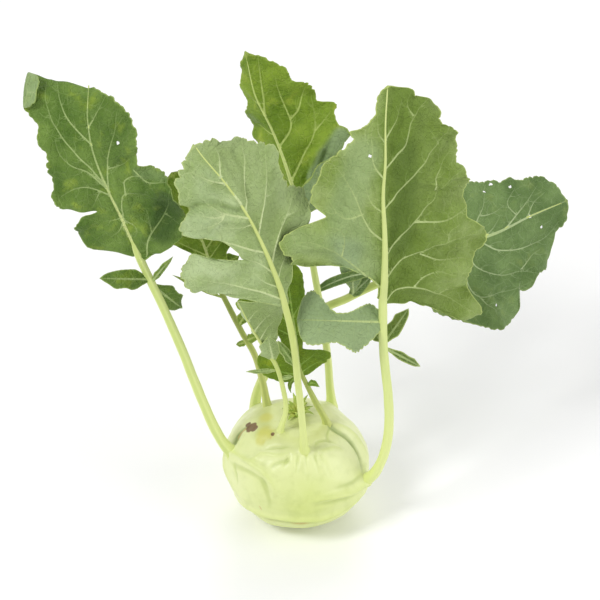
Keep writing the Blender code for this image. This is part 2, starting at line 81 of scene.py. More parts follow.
# Ridges and creases on the bulb: (rise, half width, ((azimuth in degrees, height), ...))
BULB_RIDGES = (
    (3.2, 2.2, ((-172, 45), (-155, 49), (-139, 50), (-119, 48), (-109, 42), (-109, 35))),
    (-0.8, 1.6, ((-160, 42), (-139, 45), (-122, 44), (-114, 39))),
    (3.6, 1.8, ((-14, 31), (-32, 32), (-53, 35), (-67, 36), (-78, 35))),
    (-1.0, 1.4, ((-28, 26), (-50, 30), (-68, 32), (-78, 31))),
    (-0.7, 1.7, ((-28, 37), (-44, 38), (-60, 40))),
    (1.6, 1.8, ((-136, 51), (-130, 55), (-116, 56), (-94, 57))),
    (-0.9, 1.1, ((-131, 56), (-122, 58), (-110, 59), (-94, 60))),
    (-0.8, 1.1, ((-116, 51), (-108, 54), (-96, 55))),
    (1.6, 1.8, ((-66, 57), (-56, 57), (-41, 56), (-33, 52))),
    (-0.9, 1.1, ((-66, 59), (-56, 60), (-43, 59), (-34, 56))),
    (-1.9, 2.2, ((-13, 62), (-18, 60), (-15, 54), (-19, 46), (-25, 36))),
    (1.2, 2.6, ((-5, 60), (-3, 52), (-8, 42), (-14, 34))),
    (-1.1, 2.0, ((-178, 54), (-168, 49), (-162, 46))),
    (-0.6, 1.1, ((-154, 43), (-148, 39), (-146, 32))),
    (-0.6, 0.9, ((-19, 61), (-39, 60), (-43, 58))),
    (1.3, 4.5, ((-158, 58), (-147, 61), (-137, 61))),
    (1.9, 1.7, ((-160, 18), (-147, 19), (-122, 21), (-87, 22), (-66, 21), (-44, 23), (-15, 22), (20, 19))),
    (-1.3, 1.4, ((-150, 15), (-122, 17), (-87, 18), (-66, 17), (-44, 19), (-28, 19))),
    (0.9, 2.2, ((-140, 10), (-110, 12), (-80, 12), (-50, 13))),
    (1.5, 4.0, ((175, 46), (-174, 38), (-158, 30), (-140, 25))),
    (1.6, 3.5, ((55, 52), (75, 47), (100, 45), (122, 50))),
    (1.4, 3.5, ((130, 52), (150, 44), (158, 33))),
    (1.3, 4.0, ((20, 14), (80, 13), (140, 14), (-165, 13))),
    (-0.4, 1.6, ((-122, 44), (-116, 39), (-113, 32), (-115, 26))),
)

# Wrinkles below the foot of the front stalk: ((azimuth in degrees, height), ...)
BULB_WRINKLES = (
    ((-99, 57), (-104, 52)),
    ((-89, 57), (-91, 49)),
    ((-79, 57), (-81, 45)),
    ((-68, 57), (-69, 48)),
    ((-62, 57), (-59, 45)),
)

# Marks on the skin: (strength, half width, ((azimuth in degrees, height), ...)). The groove bands are
# painted shade in grooves, along creases and under ridges; the tan streaks are real stains.
GROOVE_SHADE_BANDS = (
    (0.75, 2.1, ((-13, 62), (-18, 60), (-15, 54), (-19, 46), (-25, 36))),
    (0.8, 1.7, ((180, 57), (-176, 52), (-168, 49), (-164, 45))),
    (0.35, 1.0, ((-19, 61), (-39, 60), (-43, 58))),
    (0.3, 1.2, ((-28, 28), (-50, 31), (-68, 33), (-78, 32))),
    (0.3, 2.2, ((-122, 45), (-112, 40), (-108, 33))),
    (0.3, 1.0, ((-140, 16), (-122, 17), (-87, 18), (-66, 17), (-44, 19))),
)
TAN_STREAKS = (
    (1.0, 1.0, ((-178, 56), (-175, 52), (-170, 51))),
    (0.9, 0.8, ((-172, 57), (-166, 57))),
    (0.8, 0.8, ((-136, 61), (-132, 60))),
    (0.9, 0.7, ((-122, 27), (-120, 23))),
)

# Blades
WAVE_HEIGHT = 3.0
WAVE_FULL_AT = 36.0
WAVE_LENGTH = 31.0
CELL = 0.73
LEAFLET_CELL = 0.55
DRAWING_STATIONS = 3000
VEIN_STEP = 1.0
MAIN_VEIN_OVER = 0.2
BLADE_MERGE = 0.03

# Teeth fade out where the rows of a blade run along its edge instead of across it
CROSSING_NONE = 0.5
CROSSING_SPAN = 0.25


# Shader nodes


class Value:
    """A number that varies over a surface: a shader socket that takes part in sums."""

    def __init__(self, nodes: "Nodes", socket: bpy.types.NodeSocket) -> None:
        """Wrap a socket."""
        self.nodes = nodes
        self.socket = socket

    def _sum(self, operation: str, first: "Value | float", second: "Value | float") -> "Value":
        """Add one Math node."""
        node = self.nodes.add("ShaderNodeMath", {"operation": operation}, {0: first, 1: second})
        return Value(self.nodes, node.outputs[0])

    def __add__(self, other: "Value | float") -> "Value":
        """Sum."""
        return self._sum("ADD", self, other)

    __radd__ = __add__

    def __sub__(self, other: "Value | float") -> "Value":
        """Difference."""
        return self._sum("SUBTRACT", self, other)

    def __rsub__(self, other: float) -> "Value":
        """Difference from a number."""
        return self._sum("SUBTRACT", other, self)

    def __mul__(self, other: "Value | float") -> "Value":
        """Product."""
        return self._sum("MULTIPLY", self, other)

    __rmul__ = __mul__

    def size(self) -> "Value":
        """Its value without the sign."""
        return self._sum("ABSOLUTE", self, 0.0)

    def step(self, low: float, high: float) -> "Value":
        """Smooth step between two values.

        Args:
            low: the value at which the result is still 0.
            high: the value from which it is 1, below low for a step that runs the other way round.

        Returns:
            The result, from 0 to 1.
        """
        node = self.nodes.add("ShaderNodeMapRange", {"interpolation_type": "SMOOTHSTEP"},
                              {0: self, 1: low, 2: high, 3: 0.0, 4: 1.0})
        return Value(self.nodes, node.outputs[0])


class Nodes:
    """The node tree of one material."""

    def __init__(self, name: str) -> None:
        """Start a material that holds a Principled shader.

        Args:
            name: the material's name.
        """
        self.material = bpy.data.materials.new(name)
        self.material.use_nodes = True
        self.tree = self.material.node_tree
        self.shader = self.tree.nodes["Principled BSDF"]

    def feed(self, socket: bpy.types.NodeSocket, value: object) -> None:
        """Link a socket to another, or set its number or colour.

        Args:
            socket: the input that is fed.
            value: a Value, an output socket, a number or a tuple of numbers.
        """
        if isinstance(value, Value):
            value = value.socket
        if isinstance(value, bpy.types.NodeSocket):
            self.tree.links.new(value, socket)
        elif isinstance(value, tuple) and len(value) == 3 and socket.type == "RGBA":
            socket.default_value = (*value, 1.0)
        else:
            socket.default_value = value

    def add(self, kind: str, settings: dict, inputs: dict) -> bpy.types.Node:
        """Add a node.

        Args:
            kind: the node's type.
            settings: properties that are set first.
            inputs: what feeds each input, by its name or number.

        Returns:
            The node.
        """
        node = self.tree.nodes.new(kind)
        for key, value in settings.items():
            setattr(node, key, value)
        for key, value in inputs.items():
            self.feed(node.inputs[key], value)
        return node

    def attribute(self, name: str, output: str = "Fac") -> Value:
        """Read a mesh attribute."""
        node = self.add("ShaderNodeAttribute", {"attribute_name": name}, {})
        return Value(self, node.outputs[output])

    def place(self) -> bpy.types.NodeSocket:
        """Place on the piece, in metres."""
        return self.add("ShaderNodeTexCoord", {}, {}).outputs["Object"]

    def noise(self, scale: float, detail: float = 3.0) -> Value:
        """Soft cloudy noise from 0 to 1, with so many clouds to a metre."""
        inputs = {"Vector": self.place(), "Scale": scale, "Detail": detail}
        return Value(self, self.add("ShaderNodeTexNoise", {}, inputs).outputs[0])

    def net(self, where: bpy.types.NodeSocket, scale: float, warp: float, reach: float) -> Value:
        """Distance to the nearest line of an irregular net of cells.

        Args:
            where: places that the net is drawn on.
            scale: how many cells there are to one unit of them.
            warp: scale of the noise that bends the net's straight lines.
            reach: how far that noise shifts the places.

        Returns:
            The distance.
        """
        cloud = self.add("ShaderNodeTexNoise", {}, {"Vector": where, "Scale": warp, "Detail": 2.0})
        bent = self.add("ShaderNodeVectorMath", {"operation": "MULTIPLY_ADD"},
                        {0: cloud.outputs["Color"], 1: (reach, reach, reach), 2: where})
        cells = self.add("ShaderNodeTexVoronoi", {"feature": "DISTANCE_TO_EDGE"},
                         {"Vector": bent.outputs["Vector"], "Scale": scale})
        return Value(self, cells.outputs["Distance"])

    def mix(self, share: Value | float, first: object, second: object) -> bpy.types.NodeSocket:
        """Blend two colours: the first where share is 0, the second where it is 1."""
        node = self.add("ShaderNodeMix", {"data_type": "RGBA"}, {0: share, 6: first, 7: second})
        return node.outputs[2]

    def coats(self, ground: object, coats: tuple) -> bpy.types.NodeSocket:
        """Lay coats over a colour.

        Args:
            ground: the colour below them.
            coats: each coat as (share, colour), the lowest first.

        Returns:
            The blended colour.
        """
        for share, colour in coats:
            ground = self.mix(share, ground, colour)
        return ground

    def bump(self, height: Value, depth: float, normal: object = None) -> bpy.types.NodeSocket:
        """Normal of a fine relief.

        Args:
            height: the relief, from 0 to 1.
            depth: how many metres deep it is.
            normal: the normal of a relief that it lies on, if there is one.

        Returns:
            The normal.
        """
        inputs = {"Height": height, "Distance": depth, "Strength": 1.0}
        if normal is not None:
            inputs["Normal"] = normal
        return self.add("ShaderNodeBump", {}, inputs).outputs["Normal"]

    def finish(self, **sockets: object) -> bpy.types.Material:
        """Feed the Principled shader.

        Args:
            sockets: what feeds each input, by its name with _ for a space.

        Returns:
            The finished material.
        """
        for name, value in sockets.items():
            self.feed(self.shader.inputs[name.replace("_", " ")], value)
        return self.material


# Finishes


@dataclass(frozen=True)
class LeafFinish:
    """Colours of a leaf: its upper side, its waxy underside, its veins and its margin."""

    name: str
    deep: Colour
    light: Colour
    blotch: Colour
    blotches: float
    vein: Colour
    under_deep: Colour
    under_light: Colour
    under_vein: Colour
    margin: Colour
    roughness: float = 0.5
    right_half_shade: Colour = (0.0, 0.0, 0.0)
    right_half_shade_share: float = 0.0
    midrib: Colour = seen(208, 220, 142)
    shadow: Colour = seen(52, 80, 24)
    wax_and_highlight: Colour = seen(150, 172, 126)

    def material(self) -> bpy.types.Material:
        """Build the material.

        Returns:
            The material.
        """
        nodes = Nodes(self.name)
        reach = nodes.attribute("vein_reach")
        half = nodes.attribute("vein_half")
        rim = nodes.attribute("rim")
        under = nodes.attribute("under").step(0.45, 0.55)
        flat = nodes.attribute("flat", "Vector").socket
        clouds = nodes.noise(45.0, 4.0).step(0.32, 0.68)
        patches = nodes.noise(110.0, 3.0).step(0.6 - 0.12 * self.blotches, 0.74)
        speckle = nodes.noise(900.0, 2.0).step(0.3, 0.8)
        mesh = nodes.net(flat, 0.15, 0.2, 1.6)
        net = nodes.net(flat, 0.36, 0.5, 0.8)
        fine_net = nodes.net(flat, 0.95, 0.8, 0.8)
        gap = nodes.attribute("vein_side").size() - half
        on_vein = gap.step(0.2, -0.03) * reach.step(1.3, 0.9) * (0.25 + half.step(0.1, 0.34) * 0.75)
        # Painted shade: the blade is darker in the troughs beside its veins.
        vein_trough_shade = reach.step(3.4, 0.4)
        thread = net.step(0.06, 0.015) * 0.4 + mesh.step(0.026, 0.008)
        # Tone: below 0 painted shade in folds, cupped lobes and the shaded parts of a blade; above 0 the wax
        # colour, which is the blade's own bloom and also painted light on lit crests and halves.
        tone = nodes.attribute("tone")
        painted_shade = (0.0 - tone).step(0.0, 1.0)
        masks = (patches * self.blotches, speckle, vein_trough_shade, thread, on_vein)
        sides = []
        for deep, light, vein, shares in (
            (self.deep, self.light, self.vein, (1.0, 0.14, 0.3, 0.12, 0.8)),
            (self.under_deep, self.under_light, self.under_vein, (0.45, 0.16, 0.35, 0.24, 0.85)),
        ):
            colours = (self.blotch, light, deep, vein, vein)
            coats = tuple((mask * share, colour) for mask, share, colour in zip(masks, shares, colours))
            sides.append(nodes.coats(deep, ((clouds, light), *coats)))
        upper, lower = sides
        # Painted shade: the right half of the underside is darker next to the midrib and lighter towards its
        # margin.
        if self.right_half_shade_share > 0.0:
            parts = nodes.add("ShaderNodeSeparateXYZ", {}, {"Vector": flat})
            across = Value(nodes, parts.outputs["X"]) + 9.0 * nodes.noise(40.0, 2.0)
            right_half_shade_mask = across.step(-4.0, 9.0) * (1.0 - across.step(16.0, 58.0) * 0.75) * self.right_half_shade_share
            lower = nodes.mix(right_half_shade_mask * (1.0 - on_vein), lower, self.right_half_shade)
        colour = nodes.coats(upper, (
            (under, lower),
            (painted_shade * 0.85 * (1.0 - 0.5 * on_vein), self.shadow),
            (tone.step(0.0, 1.0) * 0.9 * (1.0 - 0.95 * on_vein), self.wax_and_highlight),
            (on_vein * half.step(0.4, 0.7) * 0.9, self.midrib),
            (rim.step(0.8, 0.15) * 0.75, self.margin),
        ))
        relief = nodes.bump(fine_net.step(0.0, 0.22), 0.0001)
        relief = nodes.bump(net.step(0.0, 0.16), 0.00022, relief)
        gloss = self.roughness + 0.1 * clouds
        return nodes.finish(Base_Color=colour, Roughness=gloss, Normal=relief, Specular_IOR_Level=0.25)


@dataclass(frozen=True)
class StalkFinish:
    """Colours of a leaf stalk: at its foot, up its length and in the blade."""

    name: str
    foot: Colour
    middle: Colour
    midrib: Colour
    groove: Colour

    def material(self) -> bpy.types.Material:
        """Build the material.

        Returns:
            The material.
        """
        nodes = Nodes(self.name)
        share = nodes.attribute("share")
        groove = nodes.attribute("groove")
        streak = nodes.noise(260.0, 3.0)
        clouds = nodes.noise(70.0, 3.0).step(0.35, 0.7)
        colour = nodes.coats(self.foot, (
            (share.step(0.1, 0.45), self.middle),
            (share.step(0.5, 0.68), self.midrib),
            (clouds * 0.3, self.foot),
            (groove.step(0.1, 0.9) * 0.5, self.groove),
        ))
        relief = nodes.bump(streak, 0.00015)
        return nodes.finish(Base_Color=colour, Roughness=0.42 + 0.12 * streak, Normal=relief)


@dataclass(frozen=True)
class SkinFinish:
    """Colours of the bulb's waxy skin."""

    name: str = "bulb_skin"
    pale: Colour = seen(232, 238, 182)
    lime: Colour = seen(208, 220, 130)
    # shade colours the real mottle and specks, and the shade painted in creases and wrinkles
    shade: Colour = seen(170, 186, 96)
    shoulder_shade: Colour = seen(196, 203, 122)
    groove_shade: Colour = seen(146, 164, 98)
    bloom: Colour = seen(206, 204, 96)
    tan: Colour = seen(206, 178, 112)
    scar: Colour = seen(112, 78, 50)

    def material(self) -> bpy.types.Material:
        """Build the material.

        Returns:
            The material.
        """
        nodes = Nodes(self.name)
        names = ("ridge", "front_shade", "top", "groove_shade", "bloom", "tan", "scar", "root")
        ridge, front_shade, top, groove_shade, bloom, tan, scar, root = (nodes.attribute(name) for name in names)
        clouds = nodes.noise(28.0, 4.0).step(0.35, 0.7)
        mottle = nodes.noise(170.0, 4.0)
        specks = nodes.noise(1400.0, 1.0).step(0.68, 0.8)
        colour = nodes.coats(self.pale, (
            # Painted shade: lime over the front of the bulb, where less light reaches it.
            (clouds * 0.3 + front_shade * 0.7, self.lime),
            (mottle.step(0.45, 0.75) * 0.18, self.shade),
            (ridge.step(0.2, 1.0) * 0.4, self.lime),
            # Painted shade over the top of the bulb, from its shoulder and the leaves above it.
            (top * (0.45 + 0.5 * clouds), self.shoulder_shade),
            # Painted shade in the creases and wrinkles.
            ((0.0 - ridge).step(0.1, 1.0) * 0.42, self.shade),
            # Painted shade in the grooves, along creases and under the ridges.
            ((groove_shade * (0.6 + mottle)).step(0.15, 0.9) * 0.75, self.groove_shade),
            ((bloom * (0.5 + mottle)).step(0.3, 0.9) * 0.7, self.bloom),
            (specks * 0.14, self.shade),
            ((tan * (0.4 + mottle)).step(0.5, 0.95) * 0.65, self.tan),
            ((scar * (0.5 + mottle)).step(0.42, 0.62) * 0.9, self.scar),
            ((root * (0.5 + mottle)).step(0.4, 0.8) * 0.8, self.tan),
        ))
        relief = nodes.bump(mottle, 0.0003)
        return nodes.finish(Base_Color=colour, Roughness=0.33 + 0.15 * mottle, Normal=relief)


@dataclass(frozen=True)
class CrownFinish:
    """Colours of the young leaves in the crown."""

    name: str = "young_leaf"
    foot: Colour = seen(216, 222, 124)
    tip: Colour = seen(158, 182, 66)

    def material(self) -> bpy.types.Material:
        """Build the material.

        Returns:
            The material.
        """
        nodes = Nodes(self.name)
        share = nodes.attribute("share")
        mottle = nodes.noise(500.0, 3.0)
        colour = nodes.mix((share * (0.6 + mottle)).step(0.35, 0.95), self.foot, self.tip)
        relief = nodes.bump(mottle, 0.0002)
        return nodes.finish(Base_Color=colour, Roughness=0.5 + 0.1 * mottle, Normal=relief)


# Curves and meshes


def smooth_path(points: np.ndarray, step: float) -> np.ndarray:
    """Points on a smooth curve through given ones.

    Args:
        points: the given points, one a row.
        step: rough distance between the points of the curve.

    Returns:
        The points of the curve, one a row.
    """
    knots = np.array(points, dtype=float)
    chord = lengths_along(knots)
    slopes = np.empty_like(knots)
    slopes[1:-1] = (knots[2:] - knots[:-2]) / (chord[2:] - chord[:-2])[:, None]
    slopes[0] = (knots[1] - knots[0]) / chord[1]
    slopes[-1] = (knots[-1] - knots[-2]) / (chord[-1] - chord[-2])
    where = np.linspace(0.0, chord[-1], max(2, int(round(chord[-1] / step)) + 1))
    return hermite(where, chord, knots, slopes)


def hermite(where: np.ndarray, marks: np.ndarray, values: np.ndarray, slopes: np.ndarray) -> np.ndarray:
    """Cubic curve through values at marks, with given slopes there.

    Args:
        where: the places at which it is read.
        marks: rising places of the values.
        values: one row of numbers for each mark.
        slopes: one row of slopes for each mark.

    Returns:
        One row of numbers for each place.
    """
    span = np.clip(np.searchsorted(marks, where, side="right") - 1, 0, len(marks) - 2)
    width = (marks[span + 1] - marks[span])[:, None]
    u = np.clip((where[:, None] - marks[span][:, None]) / width, 0.0, 1.0)
    start = (2 * u**3 - 3 * u**2 + 1) * values[span] + (u**3 - 2 * u**2 + u) * width * slopes[span]
    end = (3 * u**2 - 2 * u**3) * values[span + 1] + (u**3 - u**2) * width * slopes[span + 1]
    return start + end


def eased(where: np.ndarray, marks: np.ndarray, values: np.ndarray) -> np.ndarray:
    """Smooth curve through values that never passes beyond them between two marks.

    Args:
        where: the places at which it is read.
        marks: rising places of the values.
        values: one row of numbers for each mark.

    Returns:
        One row of numbers for each place.
    """
    rates = np.diff(values, axis=0) / np.diff(marks)[:, None]
    slopes = np.zeros_like(values)
    product = rates[:-1] * rates[1:]
    total = rates[:-1] + rates[1:]
    slopes[1:-1] = np.where(product > 0.0, 2.0 * product / np.where(total == 0.0, 1.0, total), 0.0)
    slopes[0], slopes[-1] = rates[0], rates[-1]
    return hermite(where, marks, values, slopes)


def lengths_along(path: np.ndarray) -> np.ndarray:
    """Distance of each point of a path from its start."""
    return np.concatenate([[0.0], np.cumsum(np.linalg.norm(np.diff(path, axis=0), axis=1))])


def unit(vectors: np.ndarray) -> np.ndarray:
    """Vectors of length one in the same directions."""
    return vectors / np.linalg.norm(vectors, axis=-1, keepdims=True)


def near_line(points: np.ndarray, line: np.ndarray) -> tuple[np.ndarray, np.ndarray, np.ndarray]:
    """Closeness of points to a line of straight stretches.

    Args:
        points: one point a row.
        line: the line's points, one a row.

    Returns:
        Each point's distance to the line, how far along the line that is, from 0 to 1, and, in two
        dimensions, 1 or -1 for the side of the line that it lies on.
    """
    best = np.full(len(points), np.inf)
    where = np.zeros(len(points))
    side = np.ones(len(points))
    lengths = lengths_along(line)
    for start, end, begun in zip(line, line[1:], lengths):
        span = end - start
        size = float(span @ span)
        share = np.clip(((points - start) @ span) / size, 0.0, 1.0)
        gap = np.linalg.norm(points - start - share[:, None] * span, axis=1)
        closer = gap < best
        best[closer] = gap[closer]
        where[closer] = (begun + share[closer] * math.sqrt(size)) / lengths[-1]
        if len(span) == 2:
            turn = span[0] * (points[:, 1] - start[1]) - span[1] * (points[:, 0] - start[0])
            side[closer] = np.where(turn[closer] >= 0.0, 1.0, -1.0)
    return best, where, side


def waves(points: np.ndarray, length: float, seed: int) -> np.ndarray:
    """Soft seeded undulation from about -1 to 1.

    Args:
        points: one point a row, in two or three dimensions.
        length: rough distance from one crest to the next.
        seed: picks the pattern.

    Returns:
        One height for each point.
    """
    draw = np.random.default_rng(seed)
    total = np.zeros(len(points))
    for _ in range(6):
        direction = unit(draw.normal(size=points.shape[1]))
        rate = 2.0 * math.pi / (length * draw.uniform(0.7, 1.5))
        total += np.sin(points @ direction * rate + draw.uniform(0.0, 2.0 * math.pi))
    return total / 3.0


def places_of(thing: bpy.types.Object) -> np.ndarray:
    """Vertex places of a mesh object.

    Args:
        thing: the mesh object.

    Returns:
        Its vertices, one a row.
    """
    flat = np.empty(3 * len(thing.data.vertices))
    thing.data.vertices.foreach_get("co", flat)
    return flat.reshape(-1, 3)


def move_to(thing: bpy.types.Object, places: np.ndarray) -> None:
    """Put the vertices of a mesh object at places given in millimetres."""
    thing.data.vertices.foreach_set("co", (places * MM).ravel())
    thing.data.update()


def write_attribute(thing: bpy.types.Object, name: str, values: np.ndarray) -> None:
    """Keep a number or a vector with each vertex.

    Args:
        thing: the mesh object.
        name: the attribute's name.
        values: one number, or one row of three, for each vertex.
    """
    kind = "FLOAT" if values.ndim == 1 else "FLOAT_VECTOR"
    layer = thing.data.attributes.new(name, kind, "POINT")
    layer.data.foreach_set("value" if values.ndim == 1 else "vector", values.astype(float).ravel())


def read_attribute(thing: bpy.types.Object, name: str) -> np.ndarray:
    """Read back what write_attribute kept.

    Args:
        thing: the mesh object.
        name: the attribute's name.

    Returns:
        One number, or one row of three, for each vertex.
    """
    layer = thing.data.attributes[name]
    wide = layer.data_type == "FLOAT_VECTOR"
    flat = np.empty(len(layer.data) * (3 if wide else 1))
    layer.data.foreach_get("vector" if wide else "value", flat)
    return flat.reshape(-1, 3) if wide else flat


def pick(*things: bpy.types.Object) -> None:
    """Select some objects and nothing else.

    Args:
        things: the objects, of which the first becomes active.
    """
    bpy.ops.object.select_all(action="DESELECT")
    for thing in things:
        thing.select_set(True)
    if things:
        bpy.context.view_layer.objects.active = things[0]


def primitive(kind: str, name: str, **sizes: object) -> bpy.types.Object:
    """Add one of Blender's primitive meshes, with nothing else selected.

    Args:
        kind: the primitive's name in bpy.ops.mesh, such as grid or uv_sphere.
        name: the new object's name.
        sizes: what the operator takes.

    Returns:
        The new object.
    """
    pick()
    getattr(bpy.ops.mesh, f"primitive_{kind}_add")(**sizes)
    thing = bpy.context.object
    thing.name = name
    thing.data.name = name
    return thing


def merge_doubles(thing: bpy.types.Object, distance: float) -> None:
    """Merge vertices that lie close together, and turn the faces outwards.

    Args:
        thing: the mesh object.
        distance: how close they lie, in millimetres.
    """
    pick(thing)
    bpy.ops.object.mode_set(mode="EDIT")
    bpy.ops.mesh.select_all(action="SELECT")
    bpy.ops.mesh.remove_doubles(threshold=distance * MM)
    bpy.ops.mesh.normals_make_consistent(inside=False)
    bpy.ops.object.mode_set(mode="OBJECT")


def join(name: str, things: list[bpy.types.Object]) -> bpy.types.Object:
    """Join mesh objects in one.

    Args:
        name: the joined object's name.
        things: the objects.

    Returns:
        The joined object.
    """
    pick(*things)
    if len(things) > 1:
        bpy.ops.object.join()
    things[0].name = name
    things[0].data.name = name
    return things[0]


def hand_over(thing: bpy.types.Object, node: str, slot: str, material: bpy.types.Material) -> None:
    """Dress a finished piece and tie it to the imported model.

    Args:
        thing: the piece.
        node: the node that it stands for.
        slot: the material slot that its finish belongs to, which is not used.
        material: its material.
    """
    thing.data.materials.clear()
    thing.data.materials.append(material)
    thing.data.shade_smooth()
    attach(thing, "root")
    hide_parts(node)
    LOG.info("%s: %d faces, stands for %s", thing.name, len(thing.data.polygons), node)


# Leaves


class Spine:
    """What carries a blade: it says where each point of the flat leaf lies."""

    def place(self, across: np.ndarray, along: np.ndarray) -> np.ndarray:
        """Places of flat points, one a row."""
        raise NotImplementedError

    def front(self, across: np.ndarray, along: np.ndarray) -> np.ndarray:
        """Direction that the blade faces.

        Args:
            across: how far each flat point lies to the right of the midrib.
            along: how far it lies from the foot of the blade.

        Returns:
            One direction for each point.
        """
        nudge = 0.2
        turn = np.where(across >= 0.0, 1.0, -1.0)
        here = self.place(across, along)
        beside = self.place(across + turn * nudge, along)
        above = self.place(across, along + nudge)
        return unit(np.cross((beside - here) * turn[:, None], above - here))


class Midrib(Spine):
    """The smooth line of a leaf, from its foot to the end of its midrib."""

    def __init__(self, points: Line, blade_from: int, side: tuple, fold: tuple) -> None:
        """Lay the line.

        Args:
            points: points from the foot in the bulb to the midrib's end.
            blade_from: number of the point at which the blade begins.
            side: direction in which the right half of the blade points.
            fold: degrees by which the left and right halves lean to the front.
        """
        self.path = smooth_path(points, 1.0)
        self.lengths = lengths_along(self.path)
        nearest = np.linalg.norm(self.path - np.array(points[blade_from]), axis=1).argmin()
        self.start = self.lengths[nearest]
        self.side = np.array(side, dtype=float)
        self.fold = np.radians(fold)

    def at(self, length: np.ndarray) -> np.ndarray:
        """Points of the line at lengths from the foot."""
        return np.stack([np.interp(length, self.lengths, self.path[:, axis]) for axis in range(3)], axis=-1)

    def place(self, across: np.ndarray, along: np.ndarray) -> np.ndarray:
        """Places of flat points.

        Args:
            across: how far each lies to the right of the midrib.
            along: how far it lies from the foot of the blade.

        Returns:
            Places in space, one a row.
        """
        length = self.start + along
        held = np.clip(length, 0.0, self.lengths[-1])
        reach = 3.0
        behind = np.maximum(held - reach, 0.0)
        ahead = np.minimum(held + reach, self.lengths[-1])
        forward = unit(self.at(ahead) - self.at(behind))
        side = unit(self.side - (forward @ self.side)[:, None] * forward)
        front = np.cross(side, forward)
        fold = np.where(across > 0.0, self.fold[1], self.fold[0])
        out = np.abs(across)
        phase = 2.0 * math.pi * along / WAVE_LENGTH + np.where(across > 0.0, 1.3, 0.0)
        wave = WAVE_HEIGHT * np.minimum(out / WAVE_FULL_AT, 1.0) ** 2 * np.sin(phase)
        lift = out * np.sin(fold) + wave
        onward = (length - held)[:, None] * forward
        return self.at(held) + onward + (across * np.cos(fold))[:, None] * side + lift[:, None] * front


class Sprig(Spine):
    """The line of a leaflet, from the stalk to its tip."""

    def __init__(self, root: np.ndarray, tip: tuple, bow: tuple = (0.0, 0.0, 0.0)) -> None:
        """Lay the line.

        Args:
            root: where it leaves the stalk.
            tip: where it ends.
            bow: how far its middle is bowed out.
        """
        self.root = root
        self.bow = np.array(bow, dtype=float)
        span = np.array(tip, dtype=float) - root
        self.length = float(np.linalg.norm(span))
        self.forward = span / self.length
        self.side = unit(np.cross(self.forward, np.array(TO_VIEWER)))
        self.out = np.cross(self.side, self.forward)

    def place(self, across: np.ndarray, along: np.ndarray) -> np.ndarray:
        """Places of flat points.

        Args:
            across: how far each lies to the right of the line.
            along: how far it lies from the root.

        Returns:
            Places in space, one a row.
        """
        arch = 0.12 * self.length * np.sin(math.pi * np.clip(along / self.length, 0.0, 1.0))
        lift = arch - 0.15 * np.abs(across)
        flat = along[:, None] * self.forward + across[:, None] * self.side
        share = np.clip(along / self.length, 0.0, 1.0)
        bowed = (4.0 * share * (1.0 - share))[:, None] * self.bow
        return self.root + flat + bowed + lift[:, None] * self.out


